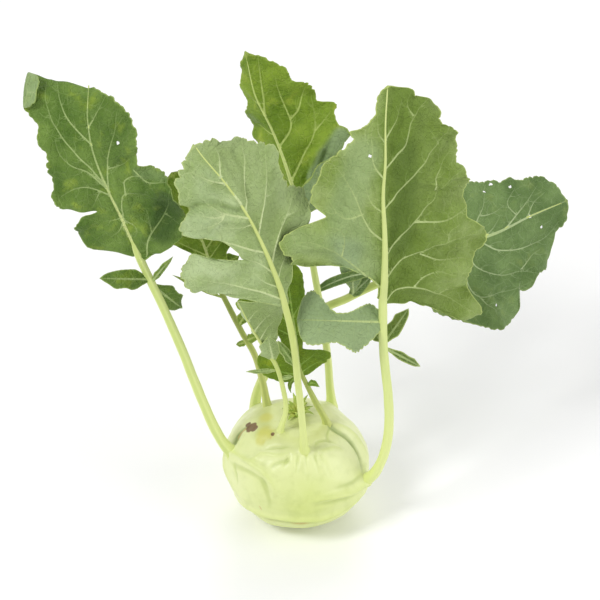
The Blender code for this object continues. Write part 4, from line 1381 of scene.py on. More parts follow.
BROAD_OUTLINE = ((0.0, 0.3, 0.3), (0.15, 0.75, 0.7), (0.3, 1.2, 0.55), (0.42, 1.05, 0.35), (0.55, 0.85, 0.3),
                 (0.7, 0.9, 0.7), (0.84, 0.95, 1.1), (0.94, 0.75, 0.8), (1.0, 0.0, 0.0))
TRIANGLE_OUTLINE = ((0.0, 0.1, 0.1), (0.3, 0.3, 0.35), (0.6, 0.8, 0.8), (0.8, 1.0, 1.0), (0.93, 0.7, 0.8),
                    (1.0, 0.0, 0.0))
NARROW_OUTLINE = ((0.0, 0.0, 0.0), (0.3, 0.5, 0.5), (0.5, 1.0, 0.9), (0.75, 0.8, 1.0), (0.9, 0.4, 0.5),
                  (1.0, 0.0, 0.0))
LEAVES = (
    Leaf(
        "leaf_front",
        stalk=((5, -19, 53), (4, -24, 60), (3, -30, 81), (1, -36, 109), (-2, -42, 145), (-6, -45, 169),
               (-11, -46, 188), (-17, -46, 206), (-25, -46, 225), (-35, -44, 241), (-45, -38, 251),
               (-49, -33, 254)),
        blade_from=5,
        radii=(2.6, 1.9, 1.7, 0.35),
        side=(0.86, 0.51, 0.0),
        fold=(-6, -6),
        left=((0, 3, 1), (3, 15, 12), (6, 28, 23), (9, 38, 33), (12, 44, 41), (15, 42, 50),
              (18, 34, 55), (21, 24, 46), (25, 12, 37), (31, 13, 42), (37, 16, 51), (43, 22, 60),
              (49, 30, 68), (55, 33, 74), (61, 29, 78), (67, 21, 80), (74, 24, 86), (81, 20, 92),
              (88, 12, 96), (95, 6, 100), (101, 0, 104)),
        right=((0, 2, 0), (3, 4, 5), (6, 8, 12), (9, 12, 18), (12, 17, 23), (15, 23, 29), (18, 28, 34),
                (21, 32, 39), (25, 34, 45), (31, 33, 50), (37, 27, 56), (43, 27, 61), (49, 29, 67),
               (55, 34, 72), (61, 32, 79), (67, 28, 85), (74, 25, 91), (81, 21, 96), (88, 19, 101),
               (95, 10, 103), (101, 0, 104)),
        veins=(((0, 56), (-7, 63), (-11, 69), (-14, 80)), ((-10, 66), (-15, 69), (-23, 77)),
               ((-11, 66), (-15, 65), (-27, 71)), ((0, 52), (-6, 55), (-13, 59)),
               ((0, 34), (-6, 40), (-15, 51), (-22, 60), (-27, 65)), ((0, 21), (-5, 30), (-12, 39)),
               ((-1, 5), (-7, 12), (-18, 23), (-28, 33), (-36, 42)), ((0, 12), (-6, 19), (-10, 28)),
               ((0, 60), (6, 68), (16, 79), (23, 88)), ((0, 45), (7, 53), (18, 65), (27, 74)),
               ((14, 59), (18, 58)), ((0, 26), (7, 35), (19, 44), (31, 51)), ((18, 44), (27, 41)),
               ((0, 16), (6, 23), (14, 28)), ((0, 78), (-6, 86), (-9, 94)), ((0, 82), (6, 90), (10, 98))),
        face=Face.UNDER,
        looks=Looks(GREY_LEAF, GREEN_STALK, "leaf_underside"),
        folds=((2.0, 2.4, ((-4, 56), (-12, 66), (-22, 72))), (-1.9, 2.2, ((-3, 62), (-10, 72), (-18, 79))),
               (2.0, 2.2, ((-3, 67), (-9, 78), (-14, 86))), (-1.6, 2.2, ((-2, 74), (-6, 86), (-8, 94))),
               (1.7, 2.4, ((2, 66), (4, 80), (6, 92))), (-1.7, 2.4, ((6, 66), (13, 78), (17, 88))),
               (1.6, 2.8, ((8, 60), (18, 72), (24, 80))), (1.4, 3.5, ((-8, 40), (-22, 58)))),
        teeth=2.1,
        tooth_length=6.2,
        leaflets=(Leaflet(125, (-10, -34, 139), 6),),
        # Tones: lighter and waxier on the left of the blade, the underside's wax with painted light; painted
        # shade on its right and in the valleys of its folds.
        tones=((0.35, 9.0, ((-6, 84), (-20, 72), (-26, 62))), (0.12, 7.0, ((-10, 16), (-26, 30))),
               (-0.2, 7.0, ((8, 46), (26, 62))), (-0.2, 6.0, ((10, 22), (26, 38))),
               (-0.3, 1.3, ((-3, 62), (-10, 72), (-18, 79))), (-0.3, 1.3, ((-2, 74), (-6, 86), (-8, 94))),
               (-0.25, 1.3, ((6, 66), (13, 78), (17, 88))), (-0.25, 1.3, ((-3, 55), (-12, 62), (-20, 66)))),
        seed=11,
    ),
    Leaf(
        "leaf_right",
        stalk=((31, -13, 28), (36, -15, 31), (42, -19, 40), (47, -22, 56), (49, -24, 76), (48, -26, 98),
               (45, -28, 128), (44, -28, 160), (44, -24, 194), (43, -20, 218), (44, -15, 235),
               (44, -7, 252), (45, 3, 266)),
        blade_from=7,
        radii=(4.2, 2.6, 2.2, 0.4),
        side=(0.90, 0.44, 0.0),
        fold=(-4, -4),
        left=((0, 3, 2), (3, 3, 6), (6, 3, 9), (9, 7, 14), (13, 14, 19), (17, 22, 23), (20, 32, 25),
              (23, 43, 26), (25, 50, 29), (27, 51, 36), (29, 56, 41), (31, 56, 45), (33, 53, 48),
              (36, 46, 50), (40, 38, 51), (45, 30, 53), (51, 37, 59), (56, 39, 64), (60, 37, 69),
              (66, 34, 76), (71, 27, 81), (76, 21, 85), (80, 17, 88), (85, 18, 92), (88, 14, 93),
              (93, 8, 97), (98, 5, 101), (106, 5, 107), (111, 3, 112), (113, 0, 115)),
        right=((0, 2, -3), (3, 10, -5), (5, 19, -8), (8, 27, -14), (11, 36, -21), (14, 43, -27),
               (18, 50, -34), (22, 58, -35), (25, 60, -27), (27, 56, -19), (29, 53, -10), (31, 51, 1),
               (33, 54, 6), (35, 57, 12), (37, 63, 15), (39, 64, 20), (42, 60, 28), (45, 54, 33),
               (49, 49, 37), (52, 50, 41), (56, 50, 48), (61, 51, 57), (66, 49, 66), (70, 47, 71),
               (73, 44, 74), (78, 43, 81), (84, 41, 90), (88, 36, 95), (92, 31, 99), (96, 32, 106),
               (101, 25, 111), (105, 17, 112), (109, 12, 115), (113, 0, 115)),
        veins=(((0, 68), (-6, 75), (-7, 83), (-7, 94)), ((0, 50), (-6, 56), (-10, 65)),
               ((0, 34), (-8, 43), (-15, 60), (-25, 73), (-31, 79)), ((-11, 51), (-21, 51), (-28, 59)),
               ((0, 7), (-10, 17), (-23, 30), (-38, 42), (-50, 45)), ((-23, 31), (-23, 45), (-29, 48)),
               ((0, 73), (7, 80), (12, 86), (15, 99), (25, 114)), ((15, 101), (12, 106), (13, 113)),
               ((0, 51), (11, 62), (25, 77), (34, 91), (40, 105)), ((31, 84), (26, 91)),
               ((0, 24), (7, 33), (29, 48), (37, 64), (46, 70)), ((31, 56), (31, 68), (39, 79)),
               ((18, 40), (36, 37), (50, 40)), ((0, 10), (8, 20), (28, 24), (56, 26)),
               ((38, 26), (38, 32), (43, 34)), ((22, 22), (35, 14), (49, 12)),
               ((0, -2), (9, 5), (25, 0), (37, -10), (54, -28)), ((18, 4), (26, 8), (34, 8), (42, 4)),
               ((34, -6), (50, -8)), ((0, 88), (6, 98), (8, 108)), ((0, 86), (-4, 92), (-4, 100))),
        face=Face.UNDER,
        looks=Looks(LIME_LEAF, PALE_STALK, "leaf_underside"),
        holes=((-8, 80, 0.6),),
        leaflets=(Leaflet(147, (0, -38, 155), 27, BROAD_OUTLINE, Face.UNDER,
                          ((3.0, 4.0, ((10, 36), (4, 40))), (-1.5, 4.0, ((-8, 30), (6, 30)))), 0.8),
                  Leaflet(133, (58, -14, 145), 9), Leaflet(131, (65, -16, 109), 5),
                  Leaflet(134, (36, -22, 139), 6)),
        # Tones: lighter and waxier on the left half, the underside's wax with painted light; painted shade
        # right of the midrib.
        tones=((0.5, 12.0, ((-12, 20), (-20, 52), (-12, 80))), (0.42, 9.0, ((-20, 30), (-46, 44))),
               (-0.4, 9.0, ((10, 30), (14, 60), (12, 80)))),
        puff=1.8,
        vein_width=0.36,
        seed=23,
    ),
    Leaf(
        "leaf_left",
        stalk=((-28, -8, 37), (-33, -9, 43), (-41, -11, 56), (-50, -12, 82), (-61, -12, 119),
               (-71, -12, 149), (-78, -12, 168), (-81, -12, 177), (-89, -12, 200), (-97, -10, 221),
               (-102, -7, 237), (-104, -3, 252), (-104, 4, 260), (-104, 12, 263)),
        blade_from=7,
        radii=(4.0, 2.8, 2.1, 0.35),
        side=(0.95, -0.30, 0.0),
        fold=(6, 6),
        left=((0, 3, 0), (4, 10, 4), (8, 20, 8), (12, 25, 13), (16, 28, 20), (20, 26, 25), (25, 17, 30),
              (30, 11, 31), (35, 20, 34), (40, 28, 39), (46, 30, 45), (52, 27, 51), (58, 27, 58),
              (64, 24, 65), (70, 27, 71), (76, 26, 78), (81, 31, 84), (84, 36, 89), (88, 40, 94),
              (92, 40, 99), (97, 31, 105)),
        right=((0, 4, -2), (4, 15, 2), (8, 25, 7), (12, 33, 13), (16, 37, 20), (20, 39, 28),
               (25, 38, 36), (30, 36, 45), (35, 30, 50), (40, 24, 54), (46, 25, 60), (52, 27, 66),
               (58, 27, 72), (64, 25, 77), (70, 22, 82), (76, 18, 86), (82, 13, 90), (87, 8, 93),
               (92, 5, 95), (97, 3, 97)),
        veins=(((0, 67), (-7, 76), (-13, 86), (-16, 101)),
               ((0, 44), (-6, 58), (-15, 73), (-21, 88), (-21, 100)),
               ((0, 42), (-6, 52), (-17, 62), (-18, 71)), ((0, 38), (-9, 45), (-16, 46), (-25, 44)),
               ((-5, 41), (-12, 34)), ((0, 24), (-10, 24)), ((0, 22), (-4, 17), (-10, 14)),
               ((1, 23), (6, 16), (3, 12)), ((0, 76), (4, 81), (9, 91)),
               ((0, 40), (5, 53), (14, 73), (16, 83)), ((5, 53), (14, 54), (20, 57)),
               ((1, 24), (6, 35), (10, 38), (21, 36)), ((10, 38), (12, 45), (22, 47), (24, 41)),
               ((5, 0), (9, 8), (14, 14), (23, 21), (32, 30), (38, 38)), ((14, 14), (14, 25)),
               ((23, 21), (33, 16)), ((21, 51), (25, 43), (33, 41), (39, 41))),
        face=Face.UPPER,
        looks=Looks(DEEP_LEAF, PALE_STALK, "leaf_green"),
        folds=((-5.0, 9.0, ((17, 27), (24, 24))), (2.0, 3.5, ((21, 51), (25, 43), (33, 41))),
               (1.8, 3.0, ((6, 30), (10, 38), (19, 39)))),
        curls=(((-29, 108), (-32, 87), 0.9),),
        holes=((16, 68, 0.7),),
        leaflets=(Leaflet(162, (-101, -20, 168), 12), Leaflet(160, (-63, -16, 179), 4),
                  Leaflet(158, (-60, -4, 138), 13)),
        # Tones: painted shade inside the cupped right lobe and painted light along its crest; darker right of
        # the midrib higher up.
        tones=((-0.85, 9.0, ((33, 31), (26, 22), (20, 15))), (0.35, 4.0, ((22, 50), (30, 46), (40, 38))),
               (-0.3, 14.0, ((12, 62), (14, 76)))),
        seed=31,
    ),
    Leaf(
        "leaf_back",
        stalk=((18, 22, 43), (19, 27, 49), (18, 29, 63), (17, 33, 77), (14, 38, 101), (10, 43, 124),
               (6, 48, 146), (1, 52, 165), (-6, 58, 188), (-13, 63, 206), (-22, 68, 225),
               (-26, 72, 243)),
        blade_from=7,
        radii=(3.0, 2.1, 1.6, 0.3),
        side=(1.0, 0.0, 0.0),
        fold=(-52, 5),
        left=((0, 4, -4), (5, 10, 0), (10, 16, 6), (15, 21, 13), (20, 24, 20), (26, 24, 28),
              (32, 20, 36), (38, 17, 43), (44, 17, 50), (50, 15, 57), (56, 10, 62), (62, 11, 69),
              (68, 8, 75), (74, 7, 81), (80, 4, 86), (85, 0, 91)),
        right=((0, 3, 0), (5, 9, 6), (10, 15, 12), (15, 21, 16), (20, 27, 21), (26, 34, 27),
               (32, 39, 32), (35, 34, 38), (39, 34, 41), (44, 37, 45), (50, 29, 50), (56, 30, 57),
               (62, 28, 64), (68, 21, 70), (74, 20, 77), (80, 13, 83), (85, 0, 91)),
        veins=(((0, 42), (-6, 45), (-14, 52)), ((0, 61), (-7, 65)), ((0, 31), (-6, 36)),
               ((0, 13), (-6, 20)), ((0, 54), (4, 65), (6, 87)),
               ((0, 35), (10, 43), (12, 55), (13, 74)), ((12, 47), (18, 50), (28, 62)),
               ((0, 15), (11, 27), (21, 37), (27, 53)), ((21, 37), (33, 43)),
               ((0, 6), (10, 14), (24, 22)), ((0, 2), (-8, 6), (-16, 14))),
        face=Face.UPPER,
        looks=Looks(LIT_LEAF, PALE_STALK, "leaf_green"),
        leaflets=(Leaflet(160, (25, 48, 203), 17, face=Face.UNDER),),
        folds=((2.2, 1.6, ((10, 13), (16, 25), (27, 33))), (-1.5, 1.6, ((14, 14), (22, 26))),
               (1.5, 1.6, ((20, 17), (30, 30)))),
        tones=((1.0, 4.5, ((13, 14), (22, 24), (34, 31))),),
        vein_width=0.5,
        seed=43,
    ),
    Leaf(
        "leaf_far_right",
        stalk=((-19, 23, 41), (-23, 27, 47), (-22, 30, 57), (-17, 34, 68), (-4, 42, 82), (14, 50, 99),
               (28, 54, 104), (41, 58, 109), (68, 64, 119), (95, 70, 130), (112, 78, 132),
               (129, 90, 134), (148, 104, 134)),
        blade_from=9,
        radii=(3.4, 2.5, 2.0, 0.25),
        side=(0.15, -0.50, -0.85),
        fold=(-22, -6),
        left=((0, 6, -7), (4, 14, -8), (8, 22, -6), (12, 28, -1), (16, 32, 6), (20, 33, 13),
              (25, 30, 24), (29, 28, 31), (33, 25, 35), (37, 25, 40), (42, 21, 46), (47, 20, 53),
              (52, 19, 59), (57, 15, 63), (61, 8, 66), (65, 0, 68)),
        right=((0, 9, -16), (4, 16, -27), (8, 25, -34), (12, 33, -28), (15, 41, -20), (18, 48, -11),
               (22, 52, -2), (26, 51, 12), (28, 47, 18), (30, 41, 19), (32, 37, 20), (35, 38, 25),
               (39, 32, 32), (43, 32, 42), (47, 27, 47), (51, 21, 51), (55, 15, 55), (58, 12, 61),
               (62, 6, 66), (65, 0, 68)),
        veins=(((0, 22), (-6, 38), (-14, 54)), ((-4, 33), (-12, 32), (-18, 40)),
               ((0, 3), (-2, 13), (-8, 24)), ((0, 0), (-11, 9), (-17, 17), (-27, 27)),
               ((-12, 12), (-11, 22), (-12, 29)), ((2, 6), (9, 14), (14, 27), (15, 46), (10, 58)),
               ((0, -3), (14, -2), (24, 14), (26, 23), (33, 34)), ((25, 24), (21, 32), (20, 40)),
               ((6, -10), (29, -9), (33, 13), (35, 22)), ((32, -7), (37, -4), (43, 3)),
               ((0, 38), (-6, 46), (-9, 56))),
        face=Face.UPPER,
        looks=Looks(BLUE_LEAF, GREEN_STALK, "leaf_green"),
        holes=((-20, 38, 0.6), (0, 40, 0.7), (8, 45, 0.6), (-24, 24, 0.5), (-26, 30, 0.5), (38, 2, 0.5)),
        leaflets=(Leaflet(114, (5, 46, 110), 6, NARROW_OUTLINE, bow=(0.0, 0.0, 7.0)),
                  Leaflet(105, (30, 52, 131), 14, TRIANGLE_OUTLINE, Face.UNDER),
                  Leaflet(104, (41, 58, 116), 8)),
        vein_width=0.36,
        seed=59,
    ),
    Leaf(
        "leaf_back_left",
        stalk=((-14, 9, 54), (-16, 12, 60), (-19, 16, 76), (-23, 20, 90), (-30, 25, 102), (-38, 31, 117),
               (-45, 35, 132), (-49, 38, 147), (-56, 42, 166), (-61, 45, 178), (-64, 47, 184)),
        blade_from=6,
        radii=(2.4, 1.8, 1.4, 0.3),
        side=(0.97, 0.10, 0.0),
        fold=(6, 6),
        left=((0, 3, 2), (5, 6, 10), (10, 8, 17), (15, 14, 24), (20, 18, 29), (25, 20, 34),
              (30, 20, 40), (35, 17, 45), (40, 16, 50), (45, 12, 55), (50, 8, 58), (54, 4, 61),
              (57, 0, 63)),
        right=((0, 4, 0), (5, 9, 5), (10, 11, 12), (15, 17, 17), (20, 24, 23), (25, 27, 29),
               (30, 26, 36), (35, 24, 42), (40, 21, 48), (45, 16, 53), (50, 11, 58), (54, 6, 61),
               (57, 0, 63)),
        veins=(((0, 8), (-5, 15), (-8, 22)), ((0, 12), (-9, 22), (-17, 32)),
               ((0, 22), (-8, 31), (-15, 42)), ((0, 33), (-7, 42), (-11, 51)),
               ((0, 10), (7, 16), (14, 20)), ((0, 16), (12, 25), (23, 31)),
               ((0, 27), (10, 36), (20, 44)), ((0, 38), (7, 46), (11, 54))),
        face=Face.UPPER,
        looks=Looks(LIT_LEAF, OLIVE_STALK, "leaf_green"),
        leaflets=(Leaflet(98, (-20, 18, 105), 6), Leaflet(97, (-33, 24, 94), 4),
                  Leaflet(135, (-31, 42, 140), 9), Leaflet(119, (-67, 30, 136), 3),
                  Leaflet(105, (-24, 26, 121), 7)),
        seed=67,
        teeth=0.6,
    ),
    Leaf(
        "leaf_inner_left",
        stalk=((-9, -11, 56), (-9, -12, 63), (-6, -12, 76), (-7, -13, 90), (-11, -15, 109),
               (-16, -17, 120), (-20, -19, 129), (-25, -21, 141), (-30, -23, 155)),
        blade_from=5,
        radii=(1.8, 1.35, 1.1, 0.3),
        side=(0.95, 0.10, 0.20),
        fold=(-75, 4),
        left=((0, 2, 1), (5, 6, 6), (10, 9, 12), (15, 11, 17), (20, 12, 22), (25, 11, 27), (30, 9, 31),
              (34, 5, 35), (38, 0, 39)),
        right=((0, 2, 0), (5, 9, 6), (10, 12, 12), (15, 16, 17), (20, 19, 22), (25, 21, 27),
               (30, 16, 31), (34, 9, 35), (38, 0, 39)),
        veins=(((0, 3), (6, 9), (10, 14)), ((0, 9), (8, 16), (15, 20)), ((0, 16), (8, 22), (16, 26)),
               ((0, 24), (6, 29), (11, 31)), ((0, 8), (-5, 14), (-8, 18)), ((0, 18), (-5, 24), (-8, 27))),
        face=Face.UNDER,
        looks=Looks(GREY_LEAF, GREEN_STALK, "leaf_underside"),
        leaflets=(Leaflet(113, (-15, -19, 131), 13, face=Face.UNDER), Leaflet(105, (-27, -18, 107), 3),
                  Leaflet(100, (-2, -14, 101), 3)),
        seed=71,
        teeth=0.5,
        puff=0.5,
    ),
    Leaf(
        "leaf_inner_right",
        stalk=((15, -4, 55), (16, -4, 62), (10, -6, 78), (3, -7, 96), (1, -6, 103), (0, -3, 113),
               (-2, 1, 128), (-4, 6, 143), (-5, 10, 154)),
        blade_from=3,
        radii=(2.1, 1.6, 1.2, 0.3),
        side=(0.98, 0.0, 0.0),
        fold=(8, 8),
        left=((0, 5, -1), (4, 13, 2), (8, 20, 7), (12, 22, 13), (16, 16, 18), (20, 8, 21), (25, 10, 27),
              (30, 16, 33), (35, 24, 39), (40, 29, 46), (45, 22, 50), (50, 14, 54), (55, 8, 59),
              (60, 0, 66)),
        right=((0, 3, 0), (4, 9, 3), (8, 15, 7), (11, 18, 12), (14, 12, 15), (16, 6, 15), (18, 3, 16),
               (25, 5, 26), (30, 7, 33), (35, 7, 40), (40, 8, 47), (45, 8, 52), (50, 8, 57),
               (55, 6, 61), (60, 0, 66)),
        veins=(((0, 2), (8, 6), (15, 10)), ((0, 6), (7, 11), (12, 16)), ((0, 1), (-9, 5), (-18, 10)),
               ((0, 6), (-8, 12), (-14, 16)), ((0, 22), (-9, 29), (-18, 37)),
               ((0, 30), (-10, 38), (-22, 45)), ((0, 24), (4, 29), (7, 34)),
               ((0, 34), (5, 41), (9, 46)), ((0, 42), (-6, 48), (-11, 53))),
        face=Face.UPPER,
        looks=Looks(VIVID_LEAF, OLIVE_STALK, "leaf_green"),
        leaflets=(Leaflet(90, (12, -10, 91), 4, bow=(0.0, 0.0, 2.0)),
                  Leaflet(96, (-3, -9, 86), 3, bow=(-3.0, 0.0, 2.0))),
        seed=83,
        teeth=0.9,
        puff=0.6,
    ),
)


# Bulb and crown


@dataclass
class Bulb:
    """The swollen stem with its ridges, wrinkles, scar and cut root."""

    node: str = "bulb"
    segments: int = 300
    rings: int = 190
    finish: SkinFinish = field(default_factory=SkinFinish)
    scars: tuple = ((-176.0, 58.0, 4.2), (-169.0, 59.0, 2.8), (-184.0, 57.0, 2.4), (-136.0, 61.5, 1.5))
    blooms: tuple = ((-147.0, 60.8, 6.5), (-143.0, 58.3, 4.0), (174.0, 62.1, 5.0))
    collar_rise: float = 1.7
    collar_width: float = 1.7
    collar_reach: float = 24.0
    top_roundness: float = 1.0
    base_roundness: float = 0.86
    shoulder_drop: float = 0.035
    lopsidedness: float = 0.02
    dent_depth: float = 3.0
    dent_radius: float = 15.0
    root_radius: float = 13.0
    skirt_height: float = 18.0
    skirt_width: float = 3.0
    top_shade_from: float = 56.5
    top_shade_span: float = 4.5
    scar_depth: float = 0.6
    wrinkle_depth: float = 1.7
    wrinkle_half_width: float = 0.95

    def skin(self, azimuth: np.ndarray, lift: np.ndarray) -> np.ndarray:
        """Points of the plain bulb.

        Args:
            azimuth: angles round the upright axis, in radians.
            lift: angles above the widest level, in radians.

        Returns:
            The points, one a row.
        """
        roundness = np.where(lift > 0.0, self.top_roundness, self.base_roundness)
        level = np.copysign(np.abs(np.sin(lift)) ** roundness, lift)
        radius = BULB_RADIUS * np.abs(np.cos(lift)) ** roundness
        radius = radius * (1.0 + self.lopsidedness * np.cos(2.0 * azimuth + 0.6))
        radius = radius * (1.0 - self.shoulder_drop * np.sin(lift) * np.cos(azimuth))
        dent = self.dent_depth * np.exp(-((radius / self.dent_radius) ** 2))
        height = BULB_CENTRE_HEIGHT + BULB_HALF_HEIGHT * level - np.where(lift > 0.0, dent, 0.0)
        return np.stack([radius * np.cos(azimuth), radius * np.sin(azimuth), height], axis=-1)

    def on_skin(self, marks: Line) -> np.ndarray:
        """Points of the plain bulb along a line.

        Args:
            marks: azimuths in degrees and heights.

        Returns:
            The points, one a row.
        """
        azimuth, height = np.array(marks, dtype=float).T
        level = np.clip((height - BULB_CENTRE_HEIGHT) / BULB_HALF_HEIGHT, -0.999, 0.999)
        roundness = np.where(level > 0.0, self.top_roundness, self.base_roundness)
        lift = np.arcsin(np.copysign(np.abs(level) ** (1.0 / roundness), level))
        return self.skin(np.radians(azimuth), lift)

    def spot(self, points: np.ndarray, mark: tuple) -> np.ndarray:
        """Soft round mask on the skin.

        Args:
            points: points of the plain bulb, one a row.
            mark: azimuth in degrees, height and radius of the spot.

        Returns:
            1 in the spot's middle and 0 well outside it, for each point.
        """
        azimuth, height, radius = mark
        centre = self.on_skin(((azimuth, height),))[0]
        return np.exp(-((np.linalg.norm(points - centre, axis=1) / radius) ** 2))

    def stain_and_shade(self, points: np.ndarray, lines: tuple) -> np.ndarray:
        """Soft mask along lines on the skin.

        Args:
            points: points of the plain bulb, one a row.
            lines: each line as (strength, half width, marks).

        Returns:
            The strength of the mark at each point: a real stain for the tan streaks, painted shade for the
                groove bands.
        """
        mask = np.zeros(len(points))
        for strength, width, marks in lines:
            distance, share, _ = near_line(points, smooth_path(self.on_skin(marks), 1.0))
            form = np.exp(-((distance / width) ** 2)) * (1.0 - 0.8 * share ** 4)
            mask = np.maximum(mask, strength * form)
        return mask

    def build(self) -> None:
        """Build the bulb and hand it over."""
        thing = primitive("uv_sphere", f"{self.node}_body", segments=self.segments, ring_count=self.rings,
                          radius=1.0)
        ball = places_of(thing)
        lift = np.arcsin(np.clip(ball[:, 2], -1.0, 1.0))
        plain = self.skin(np.arctan2(ball[:, 1], ball[:, 0]), lift)
        rise, ridge = self.relief(plain)
        scar = np.max([self.spot(plain, mark) for mark in self.scars], axis=0)
        outward = unit(plain - np.array((0.0, 0.0, BULB_CENTRE_HEIGHT)))
        points = plain + (rise - self.scar_depth * scar)[:, None] * outward
        flat_root = (lift < 0.0) & (np.hypot(points[:, 0], points[:, 1]) < self.root_radius)
        points[flat_root, 2] = 0.0
        points[:, 2] = np.maximum(points[:, 2], 0.0)
        move_to(thing, points)
        skirt = np.exp(-(((plain[:, 2] - self.skirt_height) / self.skirt_width) ** 2))
        skirt = skirt * (0.5 + 0.5 * waves(plain, 22.0, 9))
        root = np.clip(1.0 - (np.hypot(plain[:, 0], plain[:, 1]) - 9.0) / 7.0, 0.0, 1.0) * (lift < 0.0)
        attributes = {
            "ridge": np.clip(ridge, -1.0, 1.0),
            "bloom": np.max([self.spot(plain, mark) for mark in self.blooms], axis=0),
            "scar": scar,
            "tan": np.clip(np.maximum(skirt, 1.3 * self.stain_and_shade(plain, TAN_STREAKS)), 0.0, 1.3),
            # Painted shade: in grooves and under ridges, on the front and over the top.
            "groove_shade": self.stain_and_shade(plain, GROOVE_SHADE_BANDS),
            "front_shade": np.clip(-plain[:, 1] / BULB_RADIUS, 0.0, 1.0) ** 3,
            "top": np.clip((plain[:, 2] - self.top_shade_from) / self.top_shade_span, 0.0, 1.0),
            "root": root,
        }
        for name, values in attributes.items():
            write_attribute(thing, name, values)
        merge_doubles(thing, BULB_MERGE)
        hand_over(thing, self.node, "bulb_skin", self.finish.material())

    def relief(self, plain: np.ndarray) -> tuple[np.ndarray, np.ndarray]:
        """Ridges, creases, wrinkles, collars and unevenness of the skin.

        Args:
            plain: points of the plain bulb, one a row.

        Returns:
            How far each point stands out, and how much of a ridge, or below 0 of a crease, it is on.
        """
        total = np.zeros(len(plain))
        ridge = np.zeros(len(plain))
        for rise, width, marks in BULB_RIDGES:
            distance, share, _ = near_line(plain, smooth_path(self.on_skin(marks), 1.0))
            fade = (1.0 - 0.9 * share ** 4) * (1.0 - 0.6 * (1.0 - share) ** 8)
            form = np.exp(-((distance / width) ** 2)) * fade
            total += rise * form
            ridge += np.sign(rise) * form
        for marks in BULB_WRINKLES:
            distance, share, _ = near_line(plain, self.on_skin(marks))
            fade = (1.0 - share ** 2) * (1.0 - 0.5 * (1.0 - share) ** 6)
            form = np.exp(-((distance / self.wrinkle_half_width) ** 2)) * fade
            total -= self.wrinkle_depth * form
            ridge -= form
        for leaf in LEAVES:
            midrib = leaf.midrib()
            distance, _, _ = near_line(plain, midrib.path[midrib.lengths < self.collar_reach])
            form = np.exp(-np.clip(distance - 0.7 * leaf.radii[0], 0.0, None) / self.collar_width)
            total += self.collar_rise * form
        return total + 0.35 * waves(plain, 21.0, 5) + 0.08 * waves(plain, 5.0, 6), ridge


@dataclass
class Crown:
    """The tuft of young leaves at the growing point."""

    node: str = "crown"
    finish: CrownFinish = field(default_factory=CrownFinish)
    middle_height: float = 60.0
    place: tuple[float, float] = (0.5, 4.5)
    core_radius: float = 4.2
    core_bottom: float = 57.0
    core_top: float = 63.5
    leaves: int = 30
    leaf_lengths: tuple[float, float] = (6.0, 12.0)
    leaf_width: float = 1.3
    lean: tuple[float, float] = (10.0, 68.0)
    seed: int = 7
    turn: float = 0.382

    def stub(self, name: str, path: np.ndarray, radii: np.ndarray, flatness: float) -> bpy.types.Object:
        """One young leaf as a flattened, pointed tube.

        Args:
            name: the piece's name.
            path: points from its foot to its tip.
            radii: its half width at each of them.
            flatness: its thickness as a share of its width.

        Returns:
            The mesh object.
        """
        rings = 26
        thing = primitive("uv_sphere", name, segments=14, ring_count=rings, radius=1.0)
        ball = places_of(thing)
        share = np.arccos(np.clip(ball[:, 2], -1.0, 1.0)) / math.pi
        around = np.arctan2(ball[:, 1], ball[:, 0])
        line = smooth_path(path, 0.4)
        marks = np.linspace(0.0, 1.0, len(line))
        centre = np.stack([np.interp(share, marks, line[:, axis]) for axis in range(3)], axis=1)
        forward = unit(line[-1] - line[0])
        side = unit(np.cross(forward, np.array((0.0, 0.0, 1.0)) + 0.01))
        front = np.cross(side, forward)
        radius = np.interp(share, np.linspace(0.0, 1.0, len(radii)), radii) * np.sqrt(np.sin(math.pi * share))
        radius = radius * (1.0 + 0.25 * np.abs(np.sin(9.0 * share)) * np.abs(np.cos(around)))
        curl = 0.35 * np.cos(around) ** 2 * radius
        move_to(thing, centre + (radius * np.cos(around))[:, None] * side
                + (flatness * radius * np.sin(around) + curl)[:, None] * front)
        write_attribute(thing, "share", share)
        return thing

    def build(self) -> None:
        """Build the crown and hand it over."""
        draw = random.Random(self.seed)
        x, y = self.place
        core = np.array(((x, y, self.core_bottom), (x, y, self.middle_height), (x, y, self.core_top)))
        pieces = [self.stub("crown_core", core, np.array((0.7, 1.0, 0.9)) * self.core_radius, 1.0)]
        for number in range(self.leaves):
            azimuth = 2.0 * math.pi * number * self.turn + draw.uniform(-0.2, 0.2)
            lean = math.radians(draw.uniform(*self.lean))
            length = draw.uniform(*self.leaf_lengths)
            away = np.array((math.cos(azimuth), math.sin(azimuth), 0.0))
            start = np.array((x, y, self.core_top - 2.5)) + 0.3 * self.core_radius * away
            steps = []
            for share in (0.0, 0.35, 0.7, 1.0):
                bend = lean * (0.4 + 0.9 * share)
                rise = math.cos(bend) * np.array((0.0, 0.0, 1.0))
                steps.append(start + share * length * (math.sin(bend) * away + rise))
            half = 0.5 * self.leaf_width
            radii = np.array((0.9, half + 0.3, half + 0.5, half + 0.2, 0.4))
            pieces.append(self.stub(f"crown_leaf_{number}", np.array(steps), radii, 0.45))
        hand_over(join("crown_tuft", pieces), self.node, "young_leaf", self.finish.material())


# Floor, light and camera


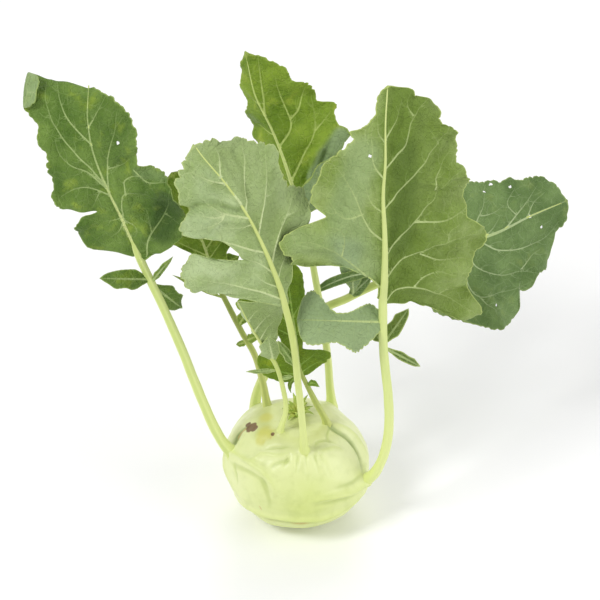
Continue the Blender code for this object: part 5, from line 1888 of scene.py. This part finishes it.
@dataclass
class Studio:
    """The pale floor, the soft lights and the camera."""

    floor_size: float = 8.0
    floor_colour: Colour = (0.98, 0.98, 0.98)
    world_strength: float = 0.5
    lights: tuple = (
        ("key", (-1.1, -0.9, 1.6), 0.6, 20.0),
        ("fill", (1.9, -0.7, 1.0), 1.6, 18.0),
        ("back", (0.2, 1.7, 1.4), 1.4, 14.0),
    )

    def build(self) -> None:
        """Build the surroundings."""
        floor = primitive("plane", "floor", size=self.floor_size, location=(0.0, 0.0, 0.0))
        nodes = Nodes("floor")
        floor.data.materials.append(nodes.finish(Base_Color=self.floor_colour, Roughness=0.9))
        world = bpy.data.worlds.new("studio")
        world.use_nodes = True
        world.node_tree.nodes["Background"].inputs["Color"].default_value = (1.0, 1.0, 1.0, 1.0)
        world.node_tree.nodes["Background"].inputs["Strength"].default_value = self.world_strength
        bpy.context.scene.world = world
        for name, place, size, power in self.lights:
            data = bpy.data.lights.new(name, "AREA")
            data.energy = power
            data.size = size
            lamp = bpy.data.objects.new(name, data)
            bpy.context.scene.collection.objects.link(lamp)
            lamp.location = place
            aim = Vector((0.0, 0.0, 0.12)) - Vector(place)
            lamp.rotation_euler = aim.to_track_quat("-Z", "Y").to_euler()
        bpy.context.scene.view_settings.view_transform = "Standard"
        self.aim_camera()

    def aim_camera(self) -> None:
        """Set the camera where the photograph was taken from."""
        lean = math.radians(CAMERA_ELEVATION)
        view = Vector((0.0, math.cos(lean), -math.sin(lean)))
        data = bpy.data.cameras.new("camera")
        data.lens = CAMERA_LENS
        camera = bpy.data.objects.new("camera", data)
        bpy.context.scene.collection.objects.link(camera)
        camera.location = (Vector(CAMERA_AIM) - CAMERA_DISTANCE * view) * MM
        camera.rotation_euler = view.to_track_quat("-Z", "Y").to_euler()
        bpy.context.scene.camera = camera


def main() -> None:
    """Build every piece in order."""
    logging.basicConfig(level=logging.INFO, format="%(name)s %(message)s")
    Studio().build()
    Bulb().build()
    Crown().build()
    for leaf in LEAVES:
        leaf.build()
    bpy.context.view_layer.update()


if __name__ == "__main__":
    main()
